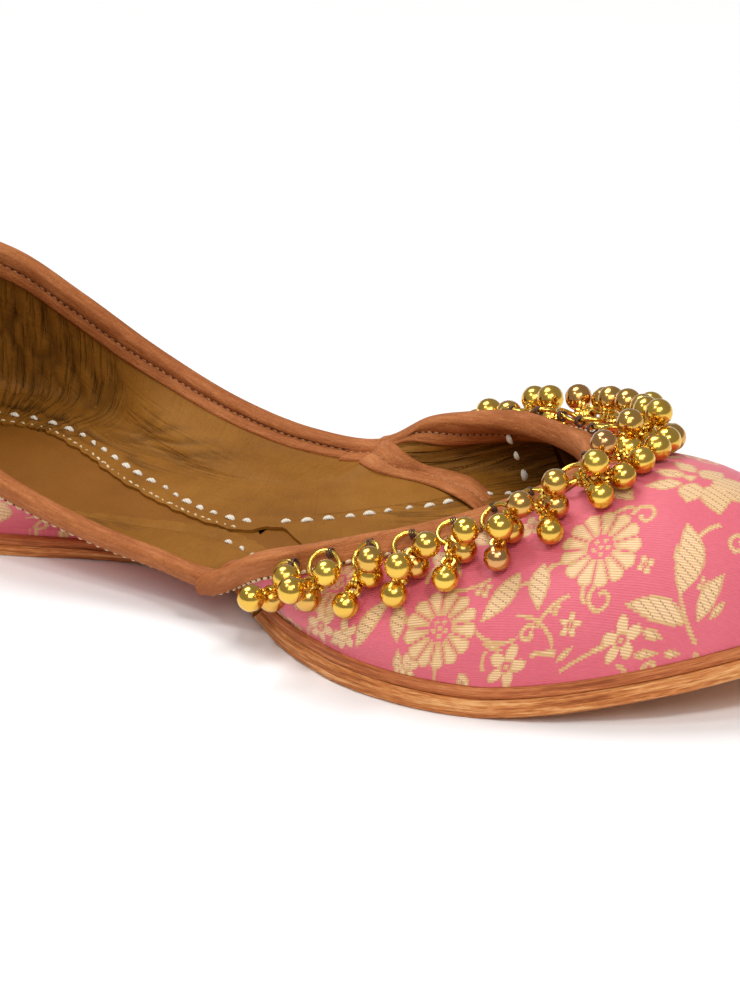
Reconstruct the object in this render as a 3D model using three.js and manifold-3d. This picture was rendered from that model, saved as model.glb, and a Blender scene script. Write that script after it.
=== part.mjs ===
// A jutti: a flat slip-on shoe of brocade and leather, made on a straight last, with a
// garland of ball bells along the throat. Millimetres, +Z up, +X toward the toe, -Y the near side.
import * as THREE from 'three';
import { mergeVertices } from 'three/addons/utils/BufferGeometryUtils.js';
import Module from 'manifold-3d';

const wasm = await Module();
wasm.setup();

// Driving dimensions of the last and the sole
const soleLength = 243;
const ballWidth = 100;
const collarHeight = 51.5;
const throatHeight = 38.5;
const toeSpring = 12.5;
const waistLift = 2.4;
const outsoleThickness = 4.3;
const midsoleThickness = 2.5;
const insoleThickness = 1.8;
const sockThickness = 0.8;
const sockLength = 118;
const sockMargin = 8;
const soleEdgeRounding = 0.7;
const midsoleStep = 0.6;
const ledge = 2.2;

// Driving dimensions of the upper and its bindings
const wall = 1.6;
const vampOverlap = 1.0;
const bindingWidth = 6.4;
const bindingThickness = 0.9;
const quarterFrontLength = 30;
const quarterFrontThickness = 1.0;
const quarterFrontEnd = 2;
const clearance = 0.3;
const bindingClearance = 0.5;
const bindingReach = 0.8;
const bindingSwell = 0.3;
const bindingInnerGap = 0.12;
const bindingCorner = 0.4;
const bindingShoulder = 0.85;

// Driving dimensions of the garland
const bellDiameter = 6;
const ringDiameter = 7.8;
const ringWire = 1.2;
const linkWire = 1.0;
const clusterPitch = 9.6;
const bellRows = { near: 12.2, middle: 15.2, far: 17.6 };

// One row for each meridian of the half upper, from the middle of the heel to the middle of the toe.
// The sole's x and the topline's x are shares of the sole length, both y are shares of half the
// ball width, z is a share of the collar height up to the joint and of the throat height after it.
// Lean is the outward lean at the foot and dip the fall at the topline, in degrees.
const meridianRows = [
  { soleX: 0.000, soleY: 0.000, topX: 0.010, topY: 0.000, topZ: 1.000, lean: 14, dip: 84 },
  { soleX: 0.009, soleY: 0.255, topX: 0.017, topY: 0.200, topZ: 0.995, lean: 14, dip: 84 },
  { soleX: 0.037, soleY: 0.515, topX: 0.044, topY: 0.425, topZ: 0.950, lean: 14, dip: 84 },
  { soleX: 0.086, soleY: 0.675, topX: 0.095, topY: 0.600, topZ: 0.835, lean: 16, dip: 86 },
  { soleX: 0.156, soleY: 0.690, topX: 0.156, topY: 0.680, topZ: 0.655, lean: 24, dip: 88 },
  { soleX: 0.239, soleY: 0.555, topX: 0.232, topY: 0.705, topZ: 0.465, lean: 46, dip: 90 },
  { soleX: 0.325, soleY: 0.400, topX: 0.318, topY: 0.690, topZ: 0.328, lean: 66, dip: 94 },
  { soleX: 0.395, soleY: 0.375, topX: 0.397, topY: 0.690, topZ: 0.268, lean: 80, dip: 98 },
  { soleX: 0.440, soleY: 0.455, topX: 0.461, topY: 0.745, topZ: 0.268, lean: 86, dip: 100 },
  { soleX: 0.487, soleY: 0.620, topX: 0.506, topY: 0.775, topZ: 0.540, lean: 76, dip: 94 },
  { soleX: 0.547, soleY: 0.815, topX: 0.552, topY: 0.750, topZ: 0.652, lean: 54, dip: 78 },
  { soleX: 0.617, soleY: 0.960, topX: 0.605, topY: 0.675, topZ: 0.756, lean: 24, dip: 52 },
  { soleX: 0.691, soleY: 1.000, topX: 0.652, topY: 0.570, topZ: 0.823, lean: 16, dip: 34 },
  { soleX: 0.770, soleY: 0.930, topX: 0.692, topY: 0.430, topZ: 0.885, lean: 8, dip: 15 },
  { soleX: 0.852, soleY: 0.765, topX: 0.722, topY: 0.275, topZ: 0.938, lean: 0, dip: 0 },
  { soleX: 0.924, soleY: 0.545, topX: 0.738, topY: 0.165, topZ: 0.972, lean: -10, dip: -14 },
  { soleX: 0.977, soleY: 0.300, topX: 0.745, topY: 0.080, topZ: 0.992, lean: -18, dip: -19 },
  { soleX: 1.000, soleY: 0.000, topX: 0.747, topY: 0.000, topZ: 1.000, lean: -20, dip: -20 },
];
const jointRow = 8;
const garlandEnd = 9.6;
const quarterFrontStart = 0.2;
const quarterFrontRows = 2.4;
const toeRow = meridianRows.length - 1;
const loopRows = 2 * toeRow;

// The wall's foot stands this much over the layer it is sewn to, on a flat rim
const footRise = 0.4;

// Handle lengths of the meridian curves, as shares of the straight distance
const footHandle = 0.40;
const topHandle = 0.40;

// How far a meridian leans from the outline's own normal toward the topline's point
const acrossShare = 0.12;

// Sole thickness along the shoe: x is a share of the length, the rest shares of the named thickness
const soleRows = [
  { x: 0.00, outsole: 0.60, midsole: 0.72 },
  { x: 0.24, outsole: 0.55, midsole: 0.66 },
  { x: 0.40, outsole: 0.44, midsole: 0.52 },
  { x: 0.60, outsole: 1.00, midsole: 1.00 },
  { x: 0.80, outsole: 1.00, midsole: 1.00 },
  { x: 1.00, outsole: 1.06, midsole: 1.10 },
];
const heelFlatEnd = 0.30 * soleLength;
const ballFlatStart = 0.56 * soleLength;
const ballFlatEnd = 0.75 * soleLength;
const springPower = 1.3;

// A value along a table of rows, eased from one row to the next
function along(rows, key, share) {
  const last = rows.length - 1;
  let i = 0;
  while (i < last - 1 && share > rows[i + 1].x) i += 1;
  const part = THREE.MathUtils.clamp((share - rows[i].x) / (rows[i + 1].x - rows[i].x), 0, 1);
  return THREE.MathUtils.lerp(rows[i][key], rows[i + 1][key], THREE.MathUtils.smoothstep(part, 0, 1));
}

// Heights of the layers over the floor at a distance x from the back of the heel
function floorHeight(x) {
  if (x > ballFlatEnd) {
    return toeSpring * ((Math.min(x, soleLength) - ballFlatEnd) / (soleLength - ballFlatEnd)) ** springPower;
  }
  if (x <= heelFlatEnd || x >= ballFlatStart) return 0;
  return waistLift * Math.sin(Math.PI * (x - heelFlatEnd) / (ballFlatStart - heelFlatEnd)) ** 2;
}

function outsoleTop(x) {
  return floorHeight(x) + outsoleThickness * along(soleRows, 'outsole', x / soleLength);
}

function midsoleTop(x) {
  return outsoleTop(x) + clearance + midsoleThickness * along(soleRows, 'midsole', x / soleLength);
}

// The table mirrored to the whole loop: near side first, then the far side back to the heel
function loopPoint(index, pick) {
  const row = meridianRows[index <= toeRow ? index : loopRows - index];
  const side = index <= toeRow ? -1 : 1;
  return pick(row, side, index <= toeRow ? index : loopRows - index);
}

function loopCurve(pick) {
  const points = [];
  for (let i = 0; i < loopRows; i += 1) points.push(loopPoint(i, pick));
  return new THREE.CatmullRomCurve3(points, true, 'centripetal');
}

const halfBall = ballWidth / 2;
const foldHeight = bindingClearance + bindingThickness;
const soleCurve = loopCurve((row, side) => new THREE.Vector3(
  row.soleX * soleLength, side * row.soleY * halfBall, 0));
const topCurve = loopCurve((row, side, index) => new THREE.Vector3(
  row.topX * soleLength, side * row.topY * halfBall,
  row.topZ * (index <= jointRow ? collarHeight : throatHeight) - foldHeight));
const angleCurve = loopCurve((row) => new THREE.Vector3(row.lean, row.dip, 0));

function onLoop(curve, t) {
  return curve.getPoint(THREE.MathUtils.euclideanModulo(t, loopRows) / loopRows);
}

// A point of the sole's outline, moved inward by an inset
function soleEdge(t, inset) {
  const step = 0.05;
  const ahead = onLoop(soleCurve, t + step);
  const behind = onLoop(soleCurve, t - step);
  const inward = new THREE.Vector3(behind.y - ahead.y, ahead.x - behind.x, 0).normalize();
  return onLoop(soleCurve, t).addScaledVector(inward, inset);
}

// A meridian of the upper's outer face, from its foot on the midsole to the topline
const meridianSteps = 24;
const meridianStore = new Map();
function meridian(t) {
  const key = THREE.MathUtils.euclideanModulo(t, loopRows).toFixed(5);
  if (meridianStore.has(key)) return meridianStore.get(key);
  const foot = soleEdge(t, ledge);
  const top = onLoop(topCurve, t);
  const angles = onLoop(angleCurve, t);
  const outline = soleEdge(t, 0).sub(soleEdge(t, 1));
  const across = new THREE.Vector3(foot.x - top.x, foot.y - top.y, 0);
  const outward = outline.addScaledVector(across, acrossShare).setZ(0).normalize();
  const lean = THREE.MathUtils.degToRad(angles.x);
  const dip = THREE.MathUtils.degToRad(angles.y);
  foot.z = midsoleTop(foot.x) + clearance + vampOverlap * Math.sin(lean) + footRise;
  const span = foot.distanceTo(top);
  const up = new THREE.Vector3(0, 0, 1);
  const low = foot.clone().addScaledVector(outward, footHandle * span * Math.sin(lean))
    .addScaledVector(up, footHandle * span * Math.cos(lean));
  const high = top.clone().addScaledVector(outward, topHandle * span * Math.cos(dip))
    .addScaledVector(up, -topHandle * span * Math.sin(dip));
  const points = new THREE.CubicBezierCurve3(foot, low, high, top).getPoints(meridianSteps);
  const lengths = [0];
  for (let i = 1; i < points.length; i += 1) {
    lengths.push(lengths[i - 1] + points[i].distanceTo(points[i - 1]));
  }
  const result = { points, lengths, total: lengths[meridianSteps] };
  meridianStore.set(key, result);
  return result;
}

// The place on a meridian at a distance below the topline, and its direction
function onMeridian(t, below) {
  const { points, lengths, total } = meridian(t);
  const reach = total - below;
  let i = 1;
  while (i < meridianSteps && lengths[i] < reach) i += 1;
  const share = (reach - lengths[i - 1]) / (lengths[i] - lengths[i - 1]);
  const direction = points[i].clone().sub(points[i - 1]).normalize();
  return { place: points[i - 1].clone().lerp(points[i], share), direction };
}

// A point of the upper at a distance below the topline and a lift off the outer face
function upperPoint(t, below, lift) {
  const step = 0.06;
  const share = below / meridian(t).total;
  const ahead = onMeridian(t + step, share * meridian(t + step).total).place;
  const behind = onMeridian(t - step, share * meridian(t - step).total).place;
  const { place, direction } = onMeridian(t, below);
  const normal = new THREE.Vector3().crossVectors(ahead.sub(behind), direction).normalize();
  return place.addScaledVector(normal, lift);
}

// The vamp lies over the quarter, so the outer face steps out past the joint
function onVamp(t) {
  const turn = THREE.MathUtils.euclideanModulo(t, loopRows);
  return turn > jointRow && turn < loopRows - jointRow;
}

function outerLift(t) {
  return onVamp(t) ? vampOverlap : 0;
}

// A closed solid from sections of equal length; an open row of sections is closed by its caps
function solidFromSections(sections, closedRow, capFaces) {
  const size = sections[0].length;
  const count = sections.length;
  const positions = sections.flat().flatMap((point) => [point.x, point.y, point.z]);
  const index = [];
  const quad = (a, b, c, d) => index.push(a, b, c, a, c, d);
  const rows = closedRow ? count : count - 1;
  for (let i = 0; i < rows; i += 1) {
    const next = (i + 1) % count;
    for (let j = 0; j < size; j += 1) {
      const k = (j + 1) % size;
      quad(i * size + j, next * size + j, next * size + k, i * size + k);
    }
  }
  if (!closedRow) {
    const last = (count - 1) * size;
    for (const [a, b, c, d] of capFaces(size)) {
      quad(a, b, c, d);
      quad(last + d, last + c, last + b, last + a);
    }
  }
  const geometry = new THREE.BufferGeometry();
  geometry.setAttribute('position', new THREE.Float32BufferAttribute(positions, 3));
  geometry.setIndex(index);
  return facingOut(geometry);
}

// Cap of a band whose section runs out along one face and back along the other
function bandCap(size) {
  const faces = [];
  for (let j = 0; j < size / 2 - 1; j += 1) faces.push([j, j + 1, size - 2 - j, size - 1 - j]);
  return faces;
}

function volumeOf(geometry) {
  const place = geometry.getAttribute('position');
  const index = geometry.getIndex();
  const corner = [new THREE.Vector3(), new THREE.Vector3(), new THREE.Vector3()];
  let volume = 0;
  for (let i = 0; i < index.count; i += 3) {
    corner.forEach((vertex, j) => vertex.fromBufferAttribute(place, index.getX(i + j)));
    volume += corner[0].dot(corner[1].clone().cross(corner[2])) / 6;
  }
  return volume;
}

function facingOut(geometry) {
  if (volumeOf(geometry) < 0) geometry.setIndex(Array.from(geometry.getIndex().array).reverse());
  geometry.computeVertexNormals();
  return geometry;
}

// Solids to and from the library that joins them
function toSolid(geometry) {
  const bare = new THREE.BufferGeometry();
  bare.setAttribute('position', geometry.getAttribute('position').clone());
  bare.setIndex(geometry.getIndex() ? geometry.getIndex().clone() : null);
  const weldDistance = 1e-4;
  const merged = mergeVertices(bare, weldDistance);
  return new wasm.Manifold(new wasm.Mesh({
    numProp: 3,
    vertProperties: new Float32Array(merged.getAttribute('position').array),
    triVerts: new Uint32Array(merged.getIndex().array),
  }));
}

function toGeometry(solid) {
  const mesh = solid.getMesh();
  const geometry = new THREE.BufferGeometry();
  geometry.setAttribute('position', new THREE.Float32BufferAttribute(mesh.vertProperties, 3));
  geometry.setIndex(Array.from(mesh.triVerts));
  geometry.computeVertexNormals();
  return geometry;
}

// Turns of the loop where sections stand, closer together near the joint, where the topline bends
const upperRings = 8;
const stepShare = 0.045;
const jointRowsBefore = 1;
const jointRowsAfter = 2;
const sectionsNearJoint = 3;
const sectionsElsewhere = 2;
function sectionTurns(start, end) {
  const turns = [start];
  for (let row = Math.floor(start); row < end; row += 1) {
    const rank = THREE.MathUtils.euclideanModulo(row, loopRows);
    const half = rank < toeRow ? rank : loopRows - 1 - rank;
    const nearJoint = half >= jointRow - jointRowsBefore && half <= jointRow + jointRowsAfter;
    const parts = nearJoint ? sectionsNearJoint : sectionsElsewhere;
    for (let i = 0; i < parts; i += 1) {
      const t = row + i / parts;
      if (t > start + stepShare && t < end - stepShare) turns.push(t);
    }
  }
  turns.push(end);
  return turns;
}

// The upper: one hollow wall, open at the collar and throat and open underneath
function upperGeometry() {
  const quarterTurns = sectionTurns(stepShare - jointRow, jointRow - stepShare);
  const vampTurns = sectionTurns(jointRow + stepShare, loopRows - jointRow - stepShare);
  const shifted = [...quarterTurns, ...vampTurns];
  const sections = shifted.map((t) => {
    const total = meridian(t).total;
    const outer = [];
    const inner = [];
    for (let j = 0; j <= upperRings; j += 1) {
      const below = total * (1 - j / upperRings);
      outer.push(upperPoint(t, below, outerLift(t)));
      inner.unshift(upperPoint(t, below, -wall));
    }
    const rim = [outer[0].clone(), inner[upperRings].clone()];
    for (const point of rim) point.z = midsoleTop(point.x) + clearance;
    return [rim[0], ...outer, ...inner, rim[1]];
  });
  return solidFromSections(sections, true);
}

// A leather strip folded over the topline, from one meridian to another
function bindingGeometry(start, end) {
  const sections = [];
  for (const t of sectionTurns(start, end)) {
    const width = Math.min(bindingWidth, meridian(t).total * bindingReach);
    const outer = outerLift(t);
    const middle = (outer - wall) / 2;
    const near = bindingClearance;
    const far = foldHeight;
    const inside = -wall - near - bindingInnerGap;
    const profile = [
      [width, outer + far],
      [width / 2, outer + far + bindingSwell],
      [-near, outer + far * bindingShoulder],
      [-far, middle],
      [-near, inside - bindingThickness * bindingShoulder],
      [width, inside - bindingThickness],
      [width, inside],
      [bindingCorner - near, inside],
      [-near, middle],
      [bindingCorner - near, outer + near],
      [width / 2, outer + near + bindingSwell],
      [width, outer + near],
    ];
    sections.push(profile.map(([below, lift]) => upperPoint(t, below, lift)));
  }
  return solidFromSections(sections, false, bandCap);
}

// Distance below the topline at which a meridian has come down to a height
function belowAtHeight(t, height) {
  const total = meridian(t).total;
  const fine = 0.2;
  let below = 0;
  while (below < total && onMeridian(t, below).place.z > height) below += fine;
  return Math.min(below, total);
}

// The quarter's front end, which lies against the inside of the vamp and runs down to the insole
function quarterFrontGeometry(side) {
  const rows = 8;
  const rings = 3;
  const face = wall + foldHeight + 2 * clearance;
  const corner = onLoop(topCurve, jointRow);
  const sections = [];
  for (let i = 0; i <= rows; i += 1) {
    const t = jointRow + quarterFrontStart + (quarterFrontRows - quarterFrontStart) * i / rows;
    const total = meridian(t).total;
    const foot = onMeridian(t, total).place.z;
    const drop = THREE.MathUtils.clamp((onMeridian(t, 0).place.x - corner.x) / quarterFrontLength, 0, 1);
    const low = total - insoleThickness - 2 * clearance;
    const top = belowAtHeight(t, THREE.MathUtils.lerp(corner.z, foot, drop));
    const high = Math.min(top, low - quarterFrontEnd);
    const turn = side < 0 ? t : loopRows - t;
    const front = [];
    const back = [];
    for (let j = 0; j <= rings; j += 1) {
      const below = THREE.MathUtils.lerp(low, high, j / rings);
      front.push(upperPoint(turn, below, -face));
      back.unshift(upperPoint(turn, below, -face - quarterFrontThickness));
    }
    sections.push([...front, ...back]);
  }
  return solidFromSections(sections, false, bandCap);
}

// A layer of the sole: sections across the shoe, with rounded edges; the end sections stand
// a little way round the toe and the heel
const endTurn = 0.2;
function layerGeometry({ inset, bottom, top, rounding, end = soleLength }) {
  const perRow = 2;
  const sections = [];
  for (let i = 0; i <= toeRow * perRow; i += 1) {
    const t = THREE.MathUtils.clamp(i / perRow, endTurn, toeRow - endTurn);
    const edge = soleEdge(t, inset);
    if (edge.x <= end) {
      const shoulder = soleEdge(t, inset + rounding);
      const ring = rounding > 0 ? [
        [shoulder, top(shoulder.x)], [edge, top(edge.x) - rounding],
        [edge, bottom(edge.x) + rounding], [shoulder, bottom(shoulder.x)],
      ] : [[edge, top(edge.x)], [edge, bottom(edge.x)]];
      const near = ring.map(([point, z]) => new THREE.Vector3(point.x, point.y, z));
      const farSide = ring.map(([point, z]) => new THREE.Vector3(point.x, -point.y, z)).reverse();
      sections.push([...near, ...farSide]);
    }
  }
  return solidFromSections(sections, false, bandCap);
}

// One cluster of the garland: a jump ring with its ball bells, joined into one solid
const bellLift = bellDiameter / 2 + vampOverlap + clearance;
const ringLift = vampOverlap + foldHeight + bindingSwell + bindingClearance + ringWire / 2;
const stackLift = 5.5;
const ringFacets = { round: 7, wire: 4 };
const bellFacets = { round: 6, high: 4 };
const ringBelow = bindingWidth;
const bellReach = 0.6;

function linkBetween(from, to, wire) {
  const span = from.distanceTo(to);
  const link = new THREE.BoxGeometry(wire, wire, span);
  const turn = new THREE.Quaternion().setFromUnitVectors(
    new THREE.Vector3(0, 0, 1), to.clone().sub(from).normalize());
  link.applyQuaternion(turn);
  const middle = from.clone().lerp(to, 0.5);
  link.translate(middle.x, middle.y, middle.z);
  return link;
}

// Turn along the loop that lies a distance to one side of a meridian, measured below the topline
function besideMeridian(t, below, distance) {
  const step = 0.25;
  const pace = upperPoint(t + step, below, vampOverlap).distanceTo(upperPoint(t - step, below, vampOverlap));
  return t + distance * 2 * step / pace;
}

function clusterGeometry(t, bells) {
  const ringRadius = (ringDiameter - ringWire) / 2;
  const centre = upperPoint(t, ringBelow, ringLift);
  const axis = upperPoint(t, ringBelow, ringLift + 1).sub(centre).normalize();
  const down = upperPoint(t, ringBelow + 1, ringLift).sub(centre).projectOnPlane(axis).normalize();
  const across = new THREE.Vector3().crossVectors(axis, down);
  const lower = centre.clone().addScaledVector(down, ringRadius);
  const ring = new THREE.TorusGeometry(ringRadius, ringWire / 2, ringFacets.wire, ringFacets.round);
  ring.applyMatrix4(new THREE.Matrix4().makeBasis(down, across, axis).setPosition(centre));
  let solid = toSolid(ring);
  const shrink = Math.min(1, meridian(t).total * bellReach / bellRows.far);
  for (const bell of bells) {
    const below = bell.below * shrink;
    const turn = besideMeridian(t, below, bell.beside * bellDiameter);
    const place = upperPoint(turn, below, bellLift + bell.stack * stackLift);
    const ball = new THREE.SphereGeometry(bellDiameter / 2, bellFacets.round, bellFacets.high);
    ball.translate(place.x, place.y, place.z);
    solid = solid.add(toSolid(ball)).add(toSolid(linkBetween(lower, place, linkWire)));
  }
  return toGeometry(solid);
}

// Bells hang in two staggered rows; every other ring carries a third bell on top of them, and
// where the throat fans out round its middle each ring has room for one more. Beside is a share
// of a bell's diameter, and below a distance under the topline.
const bellPair = [
  { beside: -0.38, below: bellRows.far, stack: 0 },
  { beside: 0.36, below: bellRows.near, stack: 0 },
];
const topBell = { beside: 0.07, below: bellRows.middle, stack: 1 };
const bellPatterns = [bellPair, [...bellPair, topBell]];
const middleBell = { beside: 0.73, below: bellRows.far, stack: 0 };
const middleReach = 2.4;

// Where the wings are low, two bells hang one over the other
const wingBells = [
  { beside: -0.1, below: bellRows.far, stack: 0.25 },
  { beside: 0, below: bellRows.far, stack: 1.45 },
];
const wingReach = 6.2;

function bellsOf(t, i) {
  const fromMiddle = Math.abs(t - toeRow);
  if (fromMiddle > wingReach) return wingBells;
  const bells = bellPatterns[i % bellPatterns.length];
  return fromMiddle < middleReach ? [...bells, middleBell] : bells;
}

// Turns of the loop for rings at an even pitch along the throat, both ways from its middle
function garlandTurns() {
  const turns = [toeRow];
  let travelled = 0;
  let previous = upperPoint(toeRow, ringBelow, ringLift);
  const fine = 0.01;
  for (let t = toeRow + fine; t < loopRows - garlandEnd; t += fine) {
    const place = upperPoint(t, ringBelow, ringLift);
    travelled += place.distanceTo(previous);
    previous = place;
    if (travelled >= clusterPitch) {
      turns.push(t);
      turns.unshift(loopRows - t);
      travelled = 0;
    }
  }
  return turns;
}

// Materials
const finish = (color, roughness, metalness = 0) => new THREE.MeshStandardMaterial({
  color, roughness, metalness, side: THREE.FrontSide });
const brocade = finish(0xe8809a, 0.6);
const bindingLeather = finish(0xb9754e, 0.55);
const liningLeather = finish(0x96703a, 0.6);
const soleLeather = finish(0xa8693c, 0.6);
const midsoleLeather = finish(0x8f5630, 0.65);
const brass = finish(0xd2a23a, 0.25, 1);

const shoe = new THREE.Group();

function addPiece(name, geometry, material) {
  const mesh = new THREE.Mesh(geometry, material);
  mesh.name = name;
  shoe.add(mesh);
}

addPiece('outsole', layerGeometry({
  inset: 0, rounding: soleEdgeRounding, bottom: floorHeight, top: outsoleTop }), soleLeather);
addPiece('midsole', layerGeometry({
  inset: midsoleStep, rounding: 0,
  bottom: (x) => outsoleTop(x) + clearance, top: midsoleTop }), midsoleLeather);
addPiece('upper', upperGeometry(), brocade);

const insoleInset = ledge + wall + 4 * clearance;
addPiece('insole', layerGeometry({
  inset: insoleInset, rounding: 0,
  bottom: (x) => midsoleTop(x) + clearance,
  top: (x) => midsoleTop(x) + clearance + insoleThickness }), liningLeather);
addPiece('sock', layerGeometry({
  inset: insoleInset + sockMargin, rounding: 0, end: sockLength,
  bottom: (x) => midsoleTop(x) + 2 * clearance + insoleThickness,
  top: (x) => midsoleTop(x) + 2 * clearance + insoleThickness + sockThickness }), liningLeather);

addPiece('collar_binding', bindingGeometry(
  stepShare - jointRow, jointRow - stepShare), bindingLeather);
addPiece('throat_binding', bindingGeometry(
  jointRow + stepShare, loopRows - jointRow - stepShare), bindingLeather);
addPiece('quarter_front_near', quarterFrontGeometry(-1), liningLeather);
addPiece('quarter_front_far', quarterFrontGeometry(1), liningLeather);

garlandTurns().forEach((t, i) => {
  const name = `bell_cluster_${String(i + 1).padStart(2, '0')}`;
  addPiece(name, clusterGeometry(t, bellsOf(t, i)), brass);
});

// The origin is on the floor under the middle of the shoe
const middle = new THREE.Box3().setFromObject(shoe).getCenter(new THREE.Vector3());
shoe.position.set(-middle.x, -middle.y, 0);

export default shoe;
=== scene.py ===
# %% [markdown]
# # A jutti with a garland of ball bells
# A jutti is a flat slip-on shoe. Its brocade vamp and quarter are lined with soft leather, bound with
# folded leather strips along the topline, and sewn to a low sole of leather layers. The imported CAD
# model is the fixed frame. Each smooth piece below is laid over the same last as the CAD solids.

# %% Load the frame
import math
import random

import bpy
import numpy as np
from mathutils import Matrix, Vector


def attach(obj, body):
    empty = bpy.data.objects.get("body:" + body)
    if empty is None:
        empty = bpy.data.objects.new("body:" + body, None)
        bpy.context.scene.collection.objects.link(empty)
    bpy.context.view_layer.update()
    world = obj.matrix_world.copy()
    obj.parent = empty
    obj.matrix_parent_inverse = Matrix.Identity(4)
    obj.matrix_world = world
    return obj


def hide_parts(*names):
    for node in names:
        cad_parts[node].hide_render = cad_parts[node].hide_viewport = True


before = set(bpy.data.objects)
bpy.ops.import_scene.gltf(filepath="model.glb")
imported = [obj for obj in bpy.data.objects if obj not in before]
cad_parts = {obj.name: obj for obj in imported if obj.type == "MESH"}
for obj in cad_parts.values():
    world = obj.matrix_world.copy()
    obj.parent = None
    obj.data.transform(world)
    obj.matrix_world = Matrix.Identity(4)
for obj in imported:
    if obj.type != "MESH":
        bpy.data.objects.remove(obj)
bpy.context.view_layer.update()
bpy.ops.object.select_all(action="DESELECT")
MM = 0.001
random.seed(11)

# %% [markdown]
# ## The camera
# A product photograph is taken from afar with a long lens, so that near and far parts keep their
# sizes. The camera looks from the near side, thirty degrees round toward the toe and twenty-six
# degrees above the floor. A small shift puts the cropped shoe where the photograph has it.

# %% Camera
TURN, HEIGHT, ROLL = math.radians(30.02), math.radians(25.99), math.radians(-0.606)
AIM, DISTANCE = Vector((-0.0015, 0, 0.02)), 2.556
SENSOR, FOCAL_PIXELS = 36, 11829.7
WIDE, TALL = 740, 987
AIM_AT_PIXEL = (328.19, 484.99)
right = Vector((math.cos(TURN), math.sin(TURN), 0))
forward = Vector((-math.sin(TURN) * math.cos(HEIGHT), math.cos(TURN) * math.cos(HEIGHT), -math.sin(HEIGHT)))
above = right.cross(forward)
rolled_right = right * math.cos(ROLL) + above * math.sin(ROLL)
rolled_above = above * math.cos(ROLL) - right * math.sin(ROLL)
bpy.ops.object.camera_add(location=AIM - forward * DISTANCE)
camera = bpy.context.object
camera.name = "camera"
camera.rotation_euler = Matrix((rolled_right, rolled_above, -forward)).transposed().to_euler()
camera.data.sensor_width = SENSOR
camera.data.lens = FOCAL_PIXELS * SENSOR / TALL
camera.data.shift_x = (WIDE / 2 - AIM_AT_PIXEL[0]) / TALL
camera.data.shift_y = (AIM_AT_PIXEL[1] - TALL / 2) / TALL
bpy.context.scene.camera = camera
print("lens", round(camera.data.lens), "mm")

# %% [markdown]
# ## Floor and light
# The ground is a plain white sweep. A wide sun gives the soft shadow under the shoe, a large lamp
# above models the toe, and two small bright lamps put the sharp glints on the bells. The
# surroundings are a mid grey, because polished metal needs something dark to mirror.

# %% Floor and light
bpy.ops.mesh.primitive_plane_add(size=12, location=(0, 0, 0))
floor = bpy.context.object
floor.name = "floor"


def lamp(kind, toward, away=0.0, **values):
    """A lamp that shines along a direction, from a distance away."""
    direction = Vector(toward).normalized()
    bpy.ops.object.light_add(type=kind, location=Vector((0, 0, 0.02)) - direction * away,
                             rotation=direction.to_track_quat("-Z", "Y").to_euler())
    for key, value in values.items():
        setattr(bpy.context.object.data, key, value)


lamp("SUN", (0.50, -0.20, -0.88), energy=1.75, angle=math.radians(30))
lamp("AREA", (-0.30, 0.62, -0.72), 1.1, energy=3.2, size=0.6)
lamp("AREA", (-0.52, 0.30, -0.80), 0.9, energy=1.8, size=0.12)
lamp("AREA", (0.30, 0.45, -0.84), 0.9, energy=1.2, size=0.12)
world = bpy.data.worlds.new("studio")
bpy.context.scene.world = world
world.use_nodes = True
world.node_tree.nodes["Background"].inputs["Color"].default_value = (0.60, 0.59, 0.58, 1)
world.node_tree.nodes["Background"].inputs["Strength"].default_value = 0.55
bpy.context.scene.view_settings.view_transform = "Standard"

# %% [markdown]
# ## The last
# A shoemaker shapes a shoe over a last. Here the last is a table: each row is a line up the wall,
# from the sole's edge to the topline, given as shares of the shoe's own sizes. The rows are
# mirrored to the far side and joined by a smooth loop, just as the CAD solids are.

# %% The last's sizes and rows, in millimetres
LENGTH, BALL, COLLAR, THROAT = 243.0, 100.0, 51.5, 38.5
TOE_SPRING, WAIST_LIFT = 12.5, 2.4
OUTSOLE, MIDSOLE, INSOLE = 4.3, 2.5, 1.8
LEDGE, WALL, OVERLAP, GAP = 2.2, 1.6, 1.0, 0.3
FOLD = 1.4
MIDDLE_X = -121.3
ROWS = np.array([  # sole x, sole y, top x, top y, top z, lean, dip
    (0.000, 0.000, 0.010, 0.000, 1.000, 14, 84), (0.009, 0.255, 0.017, 0.200, 0.995, 14, 84),
    (0.037, 0.515, 0.044, 0.425, 0.950, 14, 84), (0.086, 0.675, 0.095, 0.600, 0.835, 16, 86),
    (0.156, 0.690, 0.156, 0.680, 0.655, 24, 88), (0.239, 0.555, 0.232, 0.705, 0.465, 46, 90),
    (0.325, 0.400, 0.318, 0.690, 0.328, 66, 94), (0.395, 0.375, 0.397, 0.690, 0.268, 80, 98),
    (0.440, 0.455, 0.461, 0.745, 0.268, 86, 100), (0.487, 0.620, 0.506, 0.775, 0.540, 76, 94),
    (0.547, 0.815, 0.552, 0.750, 0.652, 54, 78), (0.617, 0.960, 0.605, 0.675, 0.756, 24, 52),
    (0.691, 1.000, 0.652, 0.570, 0.823, 16, 34), (0.770, 0.930, 0.692, 0.430, 0.885, 8, 15),
    (0.852, 0.765, 0.722, 0.275, 0.938, 0, 0), (0.924, 0.545, 0.738, 0.165, 0.972, -10, -14),
    (0.977, 0.300, 0.745, 0.080, 0.992, -18, -19), (1.000, 0.000, 0.747, 0.000, 1.000, -20, -20)])
TOE, JOINT = 17, 8
LOOP = 2 * TOE
order = [i if i <= TOE else LOOP - i for i in range(LOOP)]
side = np.array([-1.0 if i <= TOE else 1.0 for i in range(LOOP)])
half = ROWS[order]
tops = half[:, 4] * np.where(np.array(order) <= JOINT, COLLAR, THROAT) - FOLD
SOLE_LOOP = np.c_[half[:, 0] * LENGTH, side * half[:, 1] * BALL / 2, 0 * side]
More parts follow.
